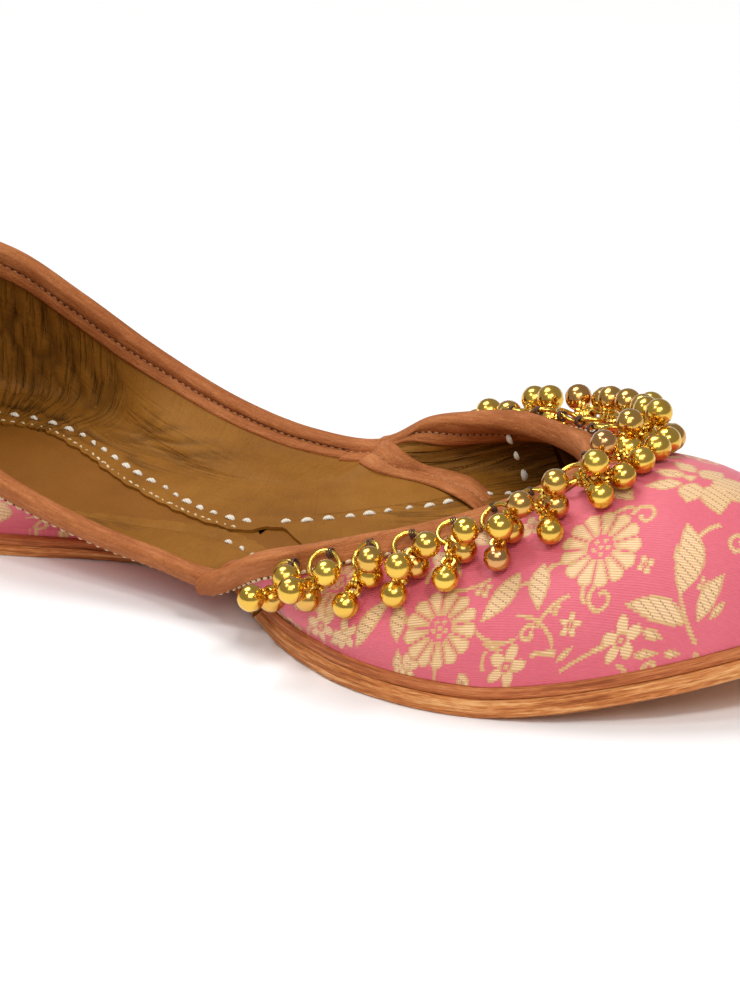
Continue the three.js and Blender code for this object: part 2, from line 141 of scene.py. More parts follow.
TOP_LOOP = np.c_[half[:, 2] * LENGTH, side * half[:, 3] * BALL / 2, tops]
LEAN_LOOP = np.c_[half[:, 5], half[:, 6], 0 * side]
print("loop rows:", LOOP)


# %% A smooth loop through rows, and the heights of the sole's layers
def on_loop(points, t):
    """Points at turns t of a closed centripetal curve through a table's rows."""
    t = np.mod(t, LOOP)
    start = np.floor(t).astype(int)
    w = (t - start)[..., None]
    p0, p1, p2, p3 = (points[(start + k) % LOOP] for k in (-1, 0, 1, 2))
    spans = [np.sqrt(np.linalg.norm(b - a, axis=-1))[..., None] for a, b in ((p0, p1), (p1, p2), (p2, p3))]
    d1 = np.where(spans[1] < 1e-4, 1, spans[1])
    d0 = np.where(spans[0] < 1e-4, d1, spans[0])
    d2 = np.where(spans[2] < 1e-4, d1, spans[2])
    m1 = ((p1 - p0) / d0 - (p2 - p0) / (d0 + d1) + (p2 - p1) / d1) * d1
    m2 = ((p2 - p1) / d1 - (p3 - p1) / (d1 + d2) + (p3 - p2) / d2) * d1
    return p1 + w * m1 + w**2 * (3 * (p2 - p1) - 2 * m1 - m2) + w**3 * (2 * (p1 - p2) + m1 + m2)


THICKNESS = np.array([  # share of the length, outsole share, midsole share
    (0.00, 0.60, 0.72), (0.24, 0.55, 0.66), (0.40, 0.44, 0.52), (0.60, 1, 1), (0.80, 1, 1), (1.00, 1.06, 1.10)])


def unit(vectors):
    return vectors / np.linalg.norm(vectors, axis=-1, keepdims=True)


def travelled(points):
    """How far each point of a row lies from the first one, along the row."""
    return np.cumsum(np.linalg.norm(np.diff(points, axis=0, prepend=points[:1]), axis=1))


def smooth_step(x):
    x = np.clip(x, 0, 1)
    return x * x * (3 - 2 * x)


def thickness(x, column):
    share = np.asarray(x, float) / LENGTH
    row = np.clip(np.searchsorted(THICKNESS[:, 0], share, side="right") - 1, 0, len(THICKNESS) - 2)
    part = smooth_step((share - THICKNESS[row, 0]) / (THICKNESS[row + 1, 0] - THICKNESS[row, 0]))
    return THICKNESS[row, column] * (1 - part) + THICKNESS[row + 1, column] * part


def ground(x):
    """Underside of the sole: flat at heel and ball, a low waist and a lifted toe."""
    heel, ball, spring = 0.30 * LENGTH, 0.56 * LENGTH, 0.75 * LENGTH
    toe = TOE_SPRING * (np.clip(x - spring, 0, LENGTH - spring) / (LENGTH - spring)) ** 1.3
    return toe + WAIST_LIFT * np.sin(math.pi * np.clip((x - heel) / (ball - heel), 0, 1)) ** 2


def outsole_top(x):
    return ground(x) + OUTSOLE * thickness(x, 1)


def midsole_top(x):
    return outsole_top(x) + GAP + MIDSOLE * thickness(x, 2)


def insole_top(x):
    return midsole_top(x) + GAP + INSOLE


def sole_edge(t, inset):
    """The sole's outline, moved inward by an inset."""
    ahead, behind = on_loop(SOLE_LOOP, t + 0.05), on_loop(SOLE_LOOP, t - 0.05)
    inward = unit(np.stack([behind[..., 1] - ahead[..., 1], ahead[..., 0] - behind[..., 0], 0 * t], -1))
    return on_loop(SOLE_LOOP, t) + inward * np.asarray(inset, float)[..., None]


print("toe rises to", round(float(ground(LENGTH)), 1), "mm")


# %% [markdown]
# ## The wall over the last
# Each line up the wall is a curve that leaves the sole at one angle and reaches the topline at
# another. Any point of the upper is then told by three plain numbers: how far round the shoe, how
# far below the topline, and how far off the outer face. Seams and stitches use the same numbers.

# %% Points of the wall
SHARES = np.linspace(0, 1, 65)


def wall_lines(t):
    foot, top = sole_edge(t, LEDGE), on_loop(TOP_LOOP, t)
    lean, dip = np.radians(on_loop(LEAN_LOOP, t))[:, :2].T
    across = (foot - top) * (1, 1, 0)
    outward = unit(sole_edge(t, 0 * t) - sole_edge(t, 0 * t + 1) + across * 0.12)
    foot[:, 2] = midsole_top(foot[:, 0]) + GAP + OVERLAP * np.sin(lean) + 0.4
    reach = 0.4 * np.linalg.norm(foot - top, axis=1)[:, None]
    up = np.array((0, 0, 1.0))
    low = foot + reach * (outward * np.sin(lean)[:, None] + up * np.cos(lean)[:, None])
    high = top + reach * (outward * np.cos(dip)[:, None] - up * np.sin(dip)[:, None])
    u = SHARES[None, :, None]
    ends = (1 - u) ** 3 * foot[:, None] + u**3 * top[:, None]
    line = ends + 3 * (1 - u) ** 2 * u * low[:, None] + 3 * (1 - u) * u**2 * high[:, None]
    steps = np.linalg.norm(np.diff(line, axis=1), axis=2)
    return line, np.concatenate([0 * t[:, None], np.cumsum(steps, axis=1)], 1)


def along(lines, reach):
    """Points at a distance from the foot, going straight on above the topline."""
    line, lengths = lines
    out = np.empty(reach.shape + (3,))
    for i in range(len(reach)):
        for axis in range(3):
            out[i, :, axis] = np.interp(reach[i], lengths[i], line[i, :, axis])
    tip = unit(line[:, -1] - line[:, -2])
    return out + tip[:, None] * np.maximum(reach - lengths[:, -1:], 0)[..., None]


def wall_length(t):
    return wall_lines(t)[1][:, -1:]


def wall_points(t, below, lift):
    """Points round the shoe at turns t (n), below the topline (n, m) and off the outer face."""
    t = np.asarray(t, float)
    lines, ahead, behind = wall_lines(t), wall_lines(t + 0.06), wall_lines(t - 0.06)
    total = lines[1][:, -1:]
    below = np.broadcast_to(below, (len(t), np.shape(below)[-1])).astype(float)
    place = along(lines, total - below)
    rise = along(lines, total - below + 0.3) - along(lines, total - below - 0.3)
    share = 1 - below / total
    run = along(ahead, ahead[1][:, -1:] * share) - along(behind, behind[1][:, -1:] * share)
    normal = unit(np.cross(run, rise))
    place = place + normal * np.broadcast_to(lift, below.shape)[..., None]
    place[..., 0] += MIDDLE_X
    return place


def from_heel(t):
    """Turns counted from the heel to either side."""
    return np.minimum(np.mod(t, LOOP), LOOP - np.mod(t, LOOP))


def vamp_lift(t):
    """The vamp lies over the quarter, so the outer face steps out past the joints."""
    return OVERLAP * smooth_step((from_heel(t) - JOINT) / 0.03 + 0.5)


heel, toe = wall_points(np.array([0.0, TOE]), np.array([[0.0]]), 0)[:, 0]
print("topline at heel", heel.round(1), "and at the throat's middle", toe.round(1))


# %% [markdown]
# ## A sheet laid over the last
# Leather and cloth start flat. Each strip here starts as Blender's grid, is bent over the last by
# moving its vertices, and keeps a map of where each vertex was on the flat cloth, so that weave and
# grain follow the piece. Where a sheet closes on itself, its doubled edge is merged.

# %% Laying a sheet
def lay_sheet(name, places, flat, material, angle, inner_material=None, marks=None):
    """Adds a grid, moves its vertices onto places (n, m, 3) in mm, and maps it by flat (n, m, 2).

    Marks are values (n, m) kept on the mesh by name, for the material to read."""
    n, m = places.shape[:2]
    bpy.ops.object.select_all(action="DESELECT")
    bpy.ops.mesh.primitive_grid_add(x_subdivisions=n - 1, y_subdivisions=m - 1, size=1)
    piece = bpy.context.object
    piece.name = piece.data.name = name
    mesh = piece.data
    start = np.empty(len(mesh.vertices) * 3)
    mesh.vertices.foreach_get("co", start)
    start = start.reshape(-1, 3)
    column = np.rint((start[:, 0] + 0.5) * (n - 1)).astype(int)
    row = np.rint((start[:, 1] + 0.5) * (m - 1)).astype(int)
    mesh.vertices.foreach_set("co", (places[column, row] * MM).ravel())
    corner = np.empty(len(mesh.loops), int)
    mesh.loops.foreach_get("vertex_index", corner)
    cloth = mesh.uv_layers[0]
    cloth.name = "Cloth"
    cloth.data.foreach_set("uv", flat[column, row][corner].astype(np.float32).ravel())
    for label, values in (marks or {}).items():
        mark = mesh.attributes.new(label, "FLOAT", "POINT")
        mark.data.foreach_set("value", values[column, row].astype(np.float32))
    mesh.materials.append(material)
    if inner_material:
        mesh.materials.append(inner_material)
        first = np.array([min(row[v] for v in face.vertices) for face in mesh.polygons])
        mesh.polygons.foreach_set("material_index", (first >= m // 2).astype(int))
    bpy.ops.object.mode_set(mode="EDIT")
    bpy.ops.mesh.select_all(action="SELECT")
    bpy.ops.mesh.remove_doubles(threshold=2e-6)
    bpy.ops.mesh.fill_holes(sides=0)
    bpy.ops.mesh.normals_make_consistent(inside=False)
    bpy.ops.object.mode_set(mode="OBJECT")
    bpy.ops.object.shade_smooth_by_angle(angle=math.radians(angle))
    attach(piece, "root")
    print(name, len(mesh.polygons), "faces")
    return piece


def turns(start, end, per_row):
    """Even turns from start to end, so many to each row of the last."""
    return np.linspace(start, end, max(3, int((end - start) * per_row) + 1))


# %% [markdown]
# ## Shader maths
# A material's pattern is arithmetic on positions. The small class below lets a node's output be
# added, multiplied and compared as if it were a number, and one method adds any node with its
# settings first and its inputs after.

# %% Wires and finishes
class Wire:
    """An output that takes part in arithmetic by adding Math nodes."""

    def __init__(self, finish, socket):
        self.finish, self.socket = finish, socket

    def math(self, operation, *others):
        return self.finish.add("Math", {"operation": operation}, dict(enumerate((self, *others))))

    def __add__(self, other):
        return self.math("ADD", other)

    def __sub__(self, other):
        return self.math("SUBTRACT", other)

    def __rsub__(self, other):
        return self.finish.add("Math", {"operation": "SUBTRACT"}, {0: other, 1: self})

    def __mul__(self, other):
        return self.math("MULTIPLY", other)

    def __truediv__(self, other):
        return self.math("DIVIDE", other)

    def __pow__(self, other):
        return self.math("POWER", other)

    def __abs__(self):
        return self.math("ABSOLUTE")

    __radd__, __rmul__ = __add__, __mul__

    def over(self, edge, soft):
        """0 below the edge, 1 above it, over a soft width."""
        return self.finish.add("MapRange", {"interpolation_type": "SMOOTHSTEP"},
                               {0: self, 1: edge - soft, 2: edge + soft, 3: 0.0, 4: 1.0})


class Finish:
    """A material, and one method that adds any node to it."""

    def __init__(self, name, **values):
        self.material = bpy.data.materials.new(name)
        self.material.use_nodes = True
        self.tree = self.material.node_tree
        self.shader = self.tree.nodes["Principled BSDF"]
        for label, value in values.items():
            self.shader.inputs[label.replace("_", " ")].default_value = value

    def add(self, kind, settings=None, sockets=None, out=0):
        node = self.tree.nodes.new("ShaderNode" + kind)
        for key, value in (settings or {}).items():
            if key == "stops":
                while len(node.color_ramp.elements) < len(value):
                    node.color_ramp.elements.new(0.5)
                for stop, (place, color) in zip(node.color_ramp.elements, value):
                    stop.position, stop.color = place, color
            else:
                setattr(node, key, value)
        for place, value in (sockets or {}).items():
            if isinstance(value, Wire):
                self.tree.links.new(value.socket, node.inputs[place])
            else:
                node.inputs[place].default_value = value
        return Wire(self, node.outputs[out])

    def mix(self, factor, a, b):
        return self.add("Mix", {"data_type": "RGBA"}, {0: factor, 6: a, 7: b}, out=2)

    def axes(self, vector):
        node = self.add("SeparateXYZ", sockets={0: vector}).socket.node
        return [Wire(self, node.outputs[i]) for i in range(3)]

    def noise(self, vector, scale, detail=3.0, rough=0.55):
        return self.add("TexNoise", sockets={"Vector": vector, "Scale": scale, "Detail": detail, "Roughness": rough})

    def drawn_out(self, vector, scale_x, scale_y, detail=3.0, rough=0.55):
        """Noise stretched along one axis of a map in millimetres."""
        return self.noise(self.add("Mapping", sockets={0: vector, 3: (scale_x, scale_y, 1)}), 1.0, detail, rough)

    def place(self):
        return self.add("TexCoord", out=3)

    def cloth(self):
        return self.add("UVMap", {"uv_map": "Cloth"})

    def mark(self, name):
        return self.add("Attribute", {"attribute_name": name}, out=2)

    def ramp(self, value, *stops):
        """A colour for a value, from stops of (place, colour)."""
        return self.add("ValToRGB", {"stops": [(place, tint(*color)) for place, color in stops]}, {0: value})

    def bump(self, height, depth):
        """Relief of a given depth in metres."""
        self.drive("Normal", self.add("Bump", sockets={"Strength": 1.0, "Distance": depth, "Height": height}))

    def drive(self, socket, wire):
        self.tree.links.new(wire.socket, self.shader.inputs[socket])


def tint(red, green, blue):
    """A colour as the eye reads it on screen, 0 to 255, made linear for the shader."""
    return (*[((c / 255 + 0.055) / 1.055) ** 2.4 if c > 10 else c / 3295 for c in (red, green, blue)], 1)


FLOOR_WHITE = Finish("white_ground", Base_Color=(0.93, 0.93, 0.93, 1), Roughness=0.9)
floor.data.materials.append(FLOOR_WHITE.material)
print("floor finish ready")

# %% [markdown]
# ## Leather
# Vegetable-tanned leather is never one colour. A slow mottle, a fine grain and darker pores are
# three noises at three scales. The binding, the lining and the sock share this recipe and differ in
# colour and grain. The binding's grain is drawn out along the strip, and the lining is wrinkled,
# with painted shade darkening its creases and folds.


# %% Leather finishes
def leather(name, dark, middle, pale, grain, depth, wrinkled=False, stretched=False):
    f = Finish(name, Specular_IOR_Level=0.12)
    place = f.place()
    mottle = f.noise(place, 60.0, 4.0)
    fine = f.noise(place, grain, 3.0, 0.6)
    pores = f.add("TexVoronoi", {"feature": "DISTANCE_TO_EDGE"}, {"Vector": place, "Scale": grain * 0.8})
    color = f.ramp(mottle * 0.7 + fine * 0.3, (0.30, dark), (0.50, middle), (0.70, pale))
    height = pores.math("MINIMUM", 0.25) * 1.6 + fine * 0.6
    if stretched:
        pull = f.drawn_out(f.cloth(), 0.16, 1.1, 4.0, 0.65)
        color = f.mix(pull.over(0.55, 0.14) * 0.45, color, tint(*dark))
        color = f.mix((1.0 - pull).over(0.60, 0.10) * 0.5, color, tint(*pale))
        height = height * 0.7 + pull * 1.4
    if wrinkled:
        upright = (0.5 - f.drawn_out(f.cloth(), 0.8, 0.07, 3.0, 0.6)).math("MAXIMUM", 0.0)
        round_shoe = (0.5 - f.drawn_out(f.cloth(), 0.07, 0.8, 3.0, 0.6)).math("MAXIMUM", 0.0)
        # Wrinkle lines and fold depth darken the colour here: painted shade in the lining's creases.
        lines = upright * f.mark("Pleats") + round_shoe * f.mark("Furrows")
        shade = (lines * 1.5 + f.mark("Fold") * 0.6).math("MINIMUM", 0.85)
        color = f.mix(shade, color, tint(58, 32, 6))
        height = height * 0.12 - lines * 5.0
        depth = depth * 4
    f.drive("Base Color", color)
    f.drive("Roughness", fine * 0.25 + 0.45)
    f.bump(height, depth)
    return f


BINDING = leather("binding_leather", (140, 76, 36), (172, 102, 56), (196, 126, 76), 1500.0, 0.00018, stretched=True)
LINING = leather("lining_leather", (120, 74, 20), (140, 90, 28), (154, 102, 36), 1700.0, 0.00012, wrinkled=True)
SOCK = leather("sock_leather", (118, 72, 20), (130, 80, 24), (140, 88, 30), 1500.0, 0.00008)
print("leathers:", BINDING.material.name, LINING.material.name, SOCK.material.name)

# %% [markdown]
# ## Sole leather
# The sole's edge shows the leather's layers on edge: long streaks of brown and burnt orange that
# run round the shoe. The map of each layer goes round the edge one way and up it the other, so
# noise stretched along the first makes the streaks.


# %% Sole leather finish
def sole_leather(name, dark, middle, pale):
    f = Finish(name, Specular_IOR_Level=0.2)
    streak = f.drawn_out(f.cloth(), 0.035, 0.9, 5.0, 0.65)
    fleck = f.drawn_out(f.cloth(), 0.25, 2.6, 4.0, 0.6)
    tone = streak * 0.65 + fleck * 0.35
    f.drive("Base Color", f.ramp(tone, (0.39, dark), (0.50, middle), (0.61, pale)))
    f.drive("Roughness", fleck * 0.3 + 0.35)
    f.bump(tone, 0.0006)
    return f


OUTSOLE_EDGE = sole_leather("outsole_leather", (150, 78, 34), (206, 128, 68), (242, 186, 122))
RAND_EDGE = sole_leather("rand_leather", (142, 72, 36), (188, 106, 58), (216, 140, 86))
print("sole finishes ready")

# %% [markdown]
# ## Brocade
# Zari brocade is pink silk with flowers woven in flat metal-wrapped thread. The pattern is charted on
# the flat cloth: each motif gives how far inside its outline a point lies, and the largest of
# them wins. The chart is read on the threads' own grid, which gives the woven, stepped outlines. It
# repeats every 84 mm. On the vamp the far side mirrors the near one, and on the quarter the chart
# runs on round the heel.

# %% Motifs on the flat cloth
SILK = Finish("zari_brocade", Sheen_Weight=0.25, Sheen_Roughness=0.4)
REPEAT, FIRST = 84.0, 35.0
GRAIN = math.radians(18)
WEFT = (0.38, 0.50, 1.0)
flat_x, flat_y, _ = SILK.axes(SILK.cloth())
wrapped = flat_x.math("WRAP", FIRST + REPEAT, FIRST)
cloth = SILK.add("CombineXYZ", sockets={0: wrapped, 1: abs(flat_y) * -1.0})
threads = SILK.add("VectorRotate", {"rotation_type": "Z_AXIS"}, {0: cloth, 3: -GRAIN})
stepped = SILK.add("VectorMath", {"operation": "SNAP"}, {0: threads, 1: WEFT})
centred = SILK.add("VectorMath", {"operation": "ADD"}, {0: stepped, 1: (WEFT[0] / 2, WEFT[1] / 2, 0)})
chart = SILK.add("VectorRotate", {"rotation_type": "Z_AXIS"}, {0: centred, 3: GRAIN})


def seen_from(x, y, angle):
    """The chart's x and y from a motif's middle, turned to its own axis."""
    local = SILK.add("Mapping", {"vector_type": "TEXTURE"}, {0: chart, 1: (x, y, 0), 2: (0, 0, math.radians(angle))})
    return SILK.axes(local)[:2]


def lengthwise(x0, y0, x1, y1):
    """The chart seen from the middle of a line, along it, with half the line's length."""
    angle = math.degrees(math.atan2(y1 - y0, x1 - x0))
    return (*seen_from((x0 + x1) / 2, (y0 + y1) / 2, angle), math.hypot(x1 - x0, y1 - y0) / 2)


def around(x, y, turn):
    """Distance and angle from a motif's middle."""
    x, y = seen_from(x, y, turn)
    return (x * x + y * y).math("SQRT"), y.math("ARCTAN2", x)


def daisy(x, y, radius, petals, turn=0.0):
    r, angle = around(x, y, turn)
    wave = abs((angle * (petals / 2)).math("SINE"))
    outline = (wave.math("SQRT") * 0.2 + 0.82) * radius - r
    between = r * wave * (2 / petals) - 0.15
    petal = outline.math("MINIMUM", between).math("MINIMUM", r - radius * 0.33)
    dots = abs(r - radius * 0.19).math("MAXIMUM", r * abs((angle * 2.5).math("SINE")) * 0.4)
    return petal.math("MAXIMUM", 0.42 - dots).math("MAXIMUM", 0.5 - r)


def blossom(x, y, radius, petals=5, turn=0.0):
    r, angle = around(x, y, turn)
    wave = abs((angle * (petals / 2)).math("SINE"))
    outline = (wave * 0.62 + 0.38) * radius - r
    return outline.math("MINIMUM", r - radius * 0.24).math("MAXIMUM", radius * 0.13 - r)


def leaf(x0, y0, x1, y1, width, bend=0.0):
    """A leaf from its base to its tip, bent sideways by a little."""
    x, y, half_length = lengthwise(x0, y0, x1, y1)
    fullness = 1.0 - (x / half_length) ** 2.0
    middle = abs(y - fullness * bend)
    taper = (1.0 - x * (0.25 / half_length)).math("MAXIMUM", 0.5)
    return (fullness * taper * (width / 2) - middle) * 0.85


def stem(x0, y0, x1, y1, bow=0.0, width=0.9):
    x, y, half_length = lengthwise(x0, y0, x1, y1)
    middle = abs(y - (1.0 - (x / half_length) ** 2.0) * bow)
    return (width / 2 - middle).math("MINIMUM", half_length - abs(x))


def tendril(x, y, outer, inner, start, hand=1.0, width=1.0):
    """One turn of a spiral from an outer radius to an inner one."""
    r, angle = around(x, y, start)
    share = (angle * (hand / (2 * math.pi))).math("WRAP", 1.0, 0.0)
    return width / 2 - abs(r - outer - share * (inner - outer))


def widest(*groups):
    """Draws motif after motif, and keeps only the largest value so far."""
    best = None
    for draw, rows in groups:
        for row in rows:
            field = draw(*row)
            best = field if best is None else best.math("MAXIMUM", field)
    return best


LEAVES = [  # base x, base y, tip x, tip y, width, bend
    (65.3, -32.7, 62.3, -45.2, 4.6, 0.6), (69.2, -29.4, 73.2, -39.0, 4.4, -0.6), (104.8, -27.5, 89.8, -31.2, 4.6, -0.8),
    (100.0, -24.6, 93.4, -12.0, 6.4, -1.4), (106.9, -25.9, 106.5, -16.4, 4.2, 0.8), (80.2, -10.8, 67.0, -2.2, 5.2, 0.8),
    (43.2, -46.0, 45.8, -53.5, 3.6), (36.0, -56.0, 41.0, -45.0, 4.0, 0.7), (44.0, -33.5, 53.5, -37.5, 4.4, 0.7),
    (45.5, -24.0, 56.0, -28.0, 4.6, -0.7), (95.0, -52.0, 103.0, -57.5, 4.0), (118.0, -33.0, 111.0, -29.0, 3.8),
    (87.5, -2.6, 80.2, -6.2, 3.6), (88.5, -1.2, 84.6, 4.0, 3.2), (89.6, -1.2, 91.0, -7.6, 5.8),
    (92.0, -1.0, 98.6, -7.0, 6.4, 0.8), (92.2, 0.0, 101.0, -1.0, 4.6, 0.5), (86.5, 0.0, 79.5, -0.4, 3.0),
    (96.6, -33.0, 102.3, -31.7, 1.9), (98.2, -37.0, 103.8, -33.6, 1.8), (104.6, -33.2, 108.6, -31.2, 1.6),
    (108.9, -24.0, 110.0, -19.6, 1.8), (62.8, -55.2, 67.0, -58.4, 2.8), (48.2, -59.6, 46.6, -54.4, 2.4),
    (48.8, -59.6, 51.4, -55.2, 2.4), (101.0, -49.6, 106.4, -45.6, 3.6), (112.4, -56.2, 118.8, -52.4, 3.0),
    (82.6, -45.6, 84.4, -41.4, 1.5), (64.6, -48.4, 70.4, -48.2, 1.3), (96.4, -20.4, 94.0, -17.0, 1.6)]
DAISIES = [  # x, y, radius, petals, turn
    (54.3, -48.6, 7.9, 13), (79.1, -23.0, 8.4, 13, 8), (110.5, -44.0, 6.4, 11)]
BLOSSOMS = [  # x, y, radius, petals, turn
    (93.6, -36.3, 4.6, 5, 20), (72.5, -50.5, 4.6, 5, -10), (81.2, -38.8, 2.5), (90.0, -23.2, 2.0, 4),
    (50.0, -58.0, 3.4), (88.9, -51.5, 4.2, 5, 30), (116.5, -54.0, 3.4), (61.5, -21.5, 3.2, 5, 14), (113.5, -9.5, 4.0),
    (109.6, -52.6, 3.9, 6, 10), (76.2, -37.4, 1.5, 4), (59.6, -38.6, 2.0, 4), (103.6, -20.6, 1.6, 4)]
STEMS = [  # start x, start y, end x, end y, bow, width
    (71.5, -29.5, 66.0, -36.0, 0.8), (70.6, -30.0, 75.6, -27.6, 0.4), (62.3, -47.0, 71.6, -45.2, -1.4),
    (69.2, -41.3, 80.0, -43.6, 1.6), (74.5, -41.8, 77.9, -34.0, 0.9), (85.0, -46.6, 91.1, -38.9, 0.5),
    (99.8, -24.1, 110.2, -28.2, -0.9), (100.0, -8.9, 98.2, -18.8, -1.6, 1.1), (56.0, -55.0, 58.2, -61.0, 0.5),
    (79.8, -29.6, 82.0, -34.5, -0.9, 1.1), (77.4, -16.6, 81.2, -12.4, 0.7, 1.1), (60.0, -36.0, 52.5, -40.8, 0.8),
    (96.0, -40.0, 104.5, -42.5, 1.2), (46.5, -40.5, 48.0, -33.5, 0.8),
    (76.2, -46.8, 81.4, -44.3, 0.3, 1.1), (40.6, -45.2, 44.4, -50.8, 0.8, 1.0), (104.0, -55.6, 112.0, -49.6, 0.8),
    (88.9, -40.8, 91.6, -37.9, 0.0, 1.2), (68.0, -53.2, 66.4, -49.2, 0.6), (99.0, -45.0, 95.2, -48.4, 0.5)]
TENDRILS = [  # x, y, outer radius, inner radius, start, hand
    (84.6, -32.2, 2.9, 0.9, 150), (84.6, -13.6, 2.7, 0.8, -160, -1.0), (73.4, -43.6, 1.7, 0.7, 60),
    (104.2, -37.6, 2.2, 0.8, 30), (48.3, -30.6, 2.0, 0.7, 200, -1.0), (105.3, -10.4, 2.0, 0.8, 100)]
leafy = widest((leaf, LEAVES))
inside = leafy.math("MAXIMUM", widest((daisy, DAISIES), (blossom, BLOSSOMS), (stem, STEMS), (tendril, TENDRILS)))
print("brocade nodes:", len(SILK.tree.nodes))

# %% [markdown]
# The zari is pale cream with a gold rim where the outline floats turn back, crossed by the weft's
# fine lines: the tan between threads is partly their gaps' own colour and partly painted shade of
# the rounded threads. Leaves also carry slanted rows of tie-down stitches. The silk ground only
# varies a little, thread by thread and in slow clouds.

# %% Colours and relief of the brocade
zari = inside.over(0.0, 0.06)
rim = 1.0 - inside.over(0.42, 0.12)
across, up_cloth, _ = SILK.axes(threads)
line = (up_cloth / WEFT[1]).math("FRACT")
float_line = abs(line - 0.5) * 2.0
tie = ((across * 0.55 + up_cloth) / 1.6).math("FRACT").over(0.80, 0.05)
dash = (across / 0.7).math("FRACT").over(0.35, 0.08)
ties = tie * dash * leafy.over(0.35, 0.1)
wander = SILK.drawn_out(threads, 0.6, 2.4)
clouds = SILK.noise(cloth, 0.05)
ground_silk = SILK.mix(wander * 0.5 + clouds * 0.5, tint(204, 74, 94), tint(230, 114, 128))
# Tan at each weft thread's edge: partly the gap's own colour, partly painted shade of the rounded thread.
thread_color = SILK.mix(float_line * 0.85, tint(246, 214, 160), tint(198, 136, 88))
thread_color = SILK.mix(rim * 0.6, thread_color, tint(196, 140, 78))
thread_color = SILK.mix(ties * 0.7, thread_color, tint(140, 92, 66))
SILK.drive("Base Color", SILK.mix(zari, ground_silk, thread_color))
SILK.drive("Roughness", 0.58 - zari * 0.16)
SILK.bump((1.0 - float_line) * 0.5 + wander * 0.5, 0.00014)
print("brocade finished with", len(SILK.tree.nodes), "nodes")

# %% [markdown]
# ## Sole layers
# The outsole and the thin rand above it are cut to the same outline. Each is one closed skin: a strip
# that starts at the middle of the underside, turns up round the edge and comes back over the top.
# The cut edge is rounded a little and wavers, as a hand-burnished edge does.


# %% Layers of the sole
def waver(t, rise, amount):
    """A slow hand-cut unevenness."""
    return amount * (np.sin(t * 5.1 + rise) + np.sin(t * 11.3 + 1.7 * rise) * 0.6 + np.sin(t * 23.9) * 0.35)


def sole_layer(name, node, inset, bottom, top, rounding, finish, end=None, uneven=0.0):
    """A layer between two heights, cut at an inset from the sole's edge, and across at x = end."""
    t = turns(0, LOOP, 12)
    edge = sole_edge(t, inset + 0 * t)
    if end:
        edge[:, 0] = np.minimum(edge[:, 0], end)
    spine = np.stack([np.clip(edge[:, 0], 26, 208 if not end else end - 26), 0 * t, 0 * t], -1)
    columns, flat_rows = [], []
    profile = [("bottom", k, 0.0) for k in (0.0, 0.55, 0.9)]
    profile += [("low", 1.0, a) for a in (0, 30, 60, 90)] + [("side", 1.0, s) for s in (0.3, 0.5, 0.7)]
    profile += [("high", 1.0, a) for a in (90, 60, 30, 0)] + [("top", k, 0.0) for k in (0.9, 0.55, 0.0)]
    climb = 0.0
    for step, (part, k, value) in enumerate(profile):
        tuck = rounding * (1 - math.sin(math.radians(value))) if part in ("low", "high") else 0.0
        flank = sole_edge(t, inset + tuck + waver(t, step, uneven))
        if end:
            flank[:, 0] = np.minimum(flank[:, 0], end - tuck)
        ring = spine + (flank - spine) * k
        low, high = bottom(ring[:, 0]), top(ring[:, 0])
        dip = rounding * math.cos(math.radians(value))
        ring[:, 2] = {"bottom": low, "top": high, "low": low + rounding - dip, "high": high - rounding + dip,
                      "side": low + rounding + (high - low - 2 * rounding) * value}[part]
        columns.append(ring + (MIDDLE_X, 0, 0))
        climb += 5.0 if part in ("bottom", "top") else 0.5
        flat_rows.append(np.stack([travelled(edge), 0 * t + climb], -1))
    piece = lay_sheet(name, np.stack(columns, 1), np.stack(flat_rows, 1), finish.material, 50)
    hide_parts(node)


sole_layer("outsole_leather", "outsole", 0.0, ground, outsole_top, 0.9, OUTSOLE_EDGE, uneven=0.07)
sole_layer("rand_leather", "midsole", 0.6, lambda x: outsole_top(x) + 0.02, midsole_top, 0.55, RAND_EDGE,
           uneven=0.06)

# %% [markdown]
# ## The upper
# Vamp and quarter are one wall of brocade on a stiff paste-leather backing. It is open at the top and
# underneath, where the sole closes it. The vamp's outer face steps out at each joint, because there
# it is lapped over the quarter.


# %% Wall of the upper
HEEL_ON_CHART = (77.0, 24.0)


def cloth_map(t, below):
    """Where a point of the wall was on the flat cloth: out from the throat, or round the heel."""
    top, foot = on_loop(TOP_LOOP, t)[:, :2], sole_edge(t, LEDGE + 0 * t)[:, :2]
    vamp_cloth = (top + (MIDDLE_X, 0))[:, None] + unit(foot - top)[:, None] * below[..., None]
    run = travelled(foot)
    round_heel = np.where(t < LOOP / 2, run, run - run[-1])[:, None]
    quarter_cloth = np.stack([HEEL_ON_CHART[0] + round_heel + 0 * below, HEEL_ON_CHART[1] + below], -1)
    on_quarter = np.minimum(t, LOOP - t) < JOINT
    return np.where(on_quarter[:, None, None], quarter_cloth, vamp_cloth)


joint_steps = np.array([-0.016, -0.008, 0, 0.008, 0.016])
t = np.unique(np.concatenate([turns(0, LOOP, 11), JOINT + joint_steps, LOOP - JOINT + joint_steps]).round(5))
total = wall_length(t)
up = np.linspace(0, 1, 34)
outer_below = total * (1 - up)[None, :]
inner_below = outer_below[:, ::-1]
outer_wall = wall_points(t, outer_below, vamp_lift(t)[:, None] + 0 * outer_below)
inner_wall = wall_points(t, inner_below, -0.8)
outer_foot, inner_foot = outer_wall[:, :1].copy(), inner_wall[:, -1:].copy()
for rim in (outer_foot, inner_foot):
    rim[..., 2] = midsole_top(rim[..., 0] - MIDDLE_X) + 0.05
ring = np.concatenate([outer_foot, outer_wall, inner_wall, inner_foot, outer_foot], 1)
edge_map = cloth_map(t, np.concatenate([total, outer_below, inner_below, total, total], 1))
upper = lay_sheet("upper_wall", ring, edge_map, SILK.material, 60, inner_material=LINING.material)
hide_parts("upper")

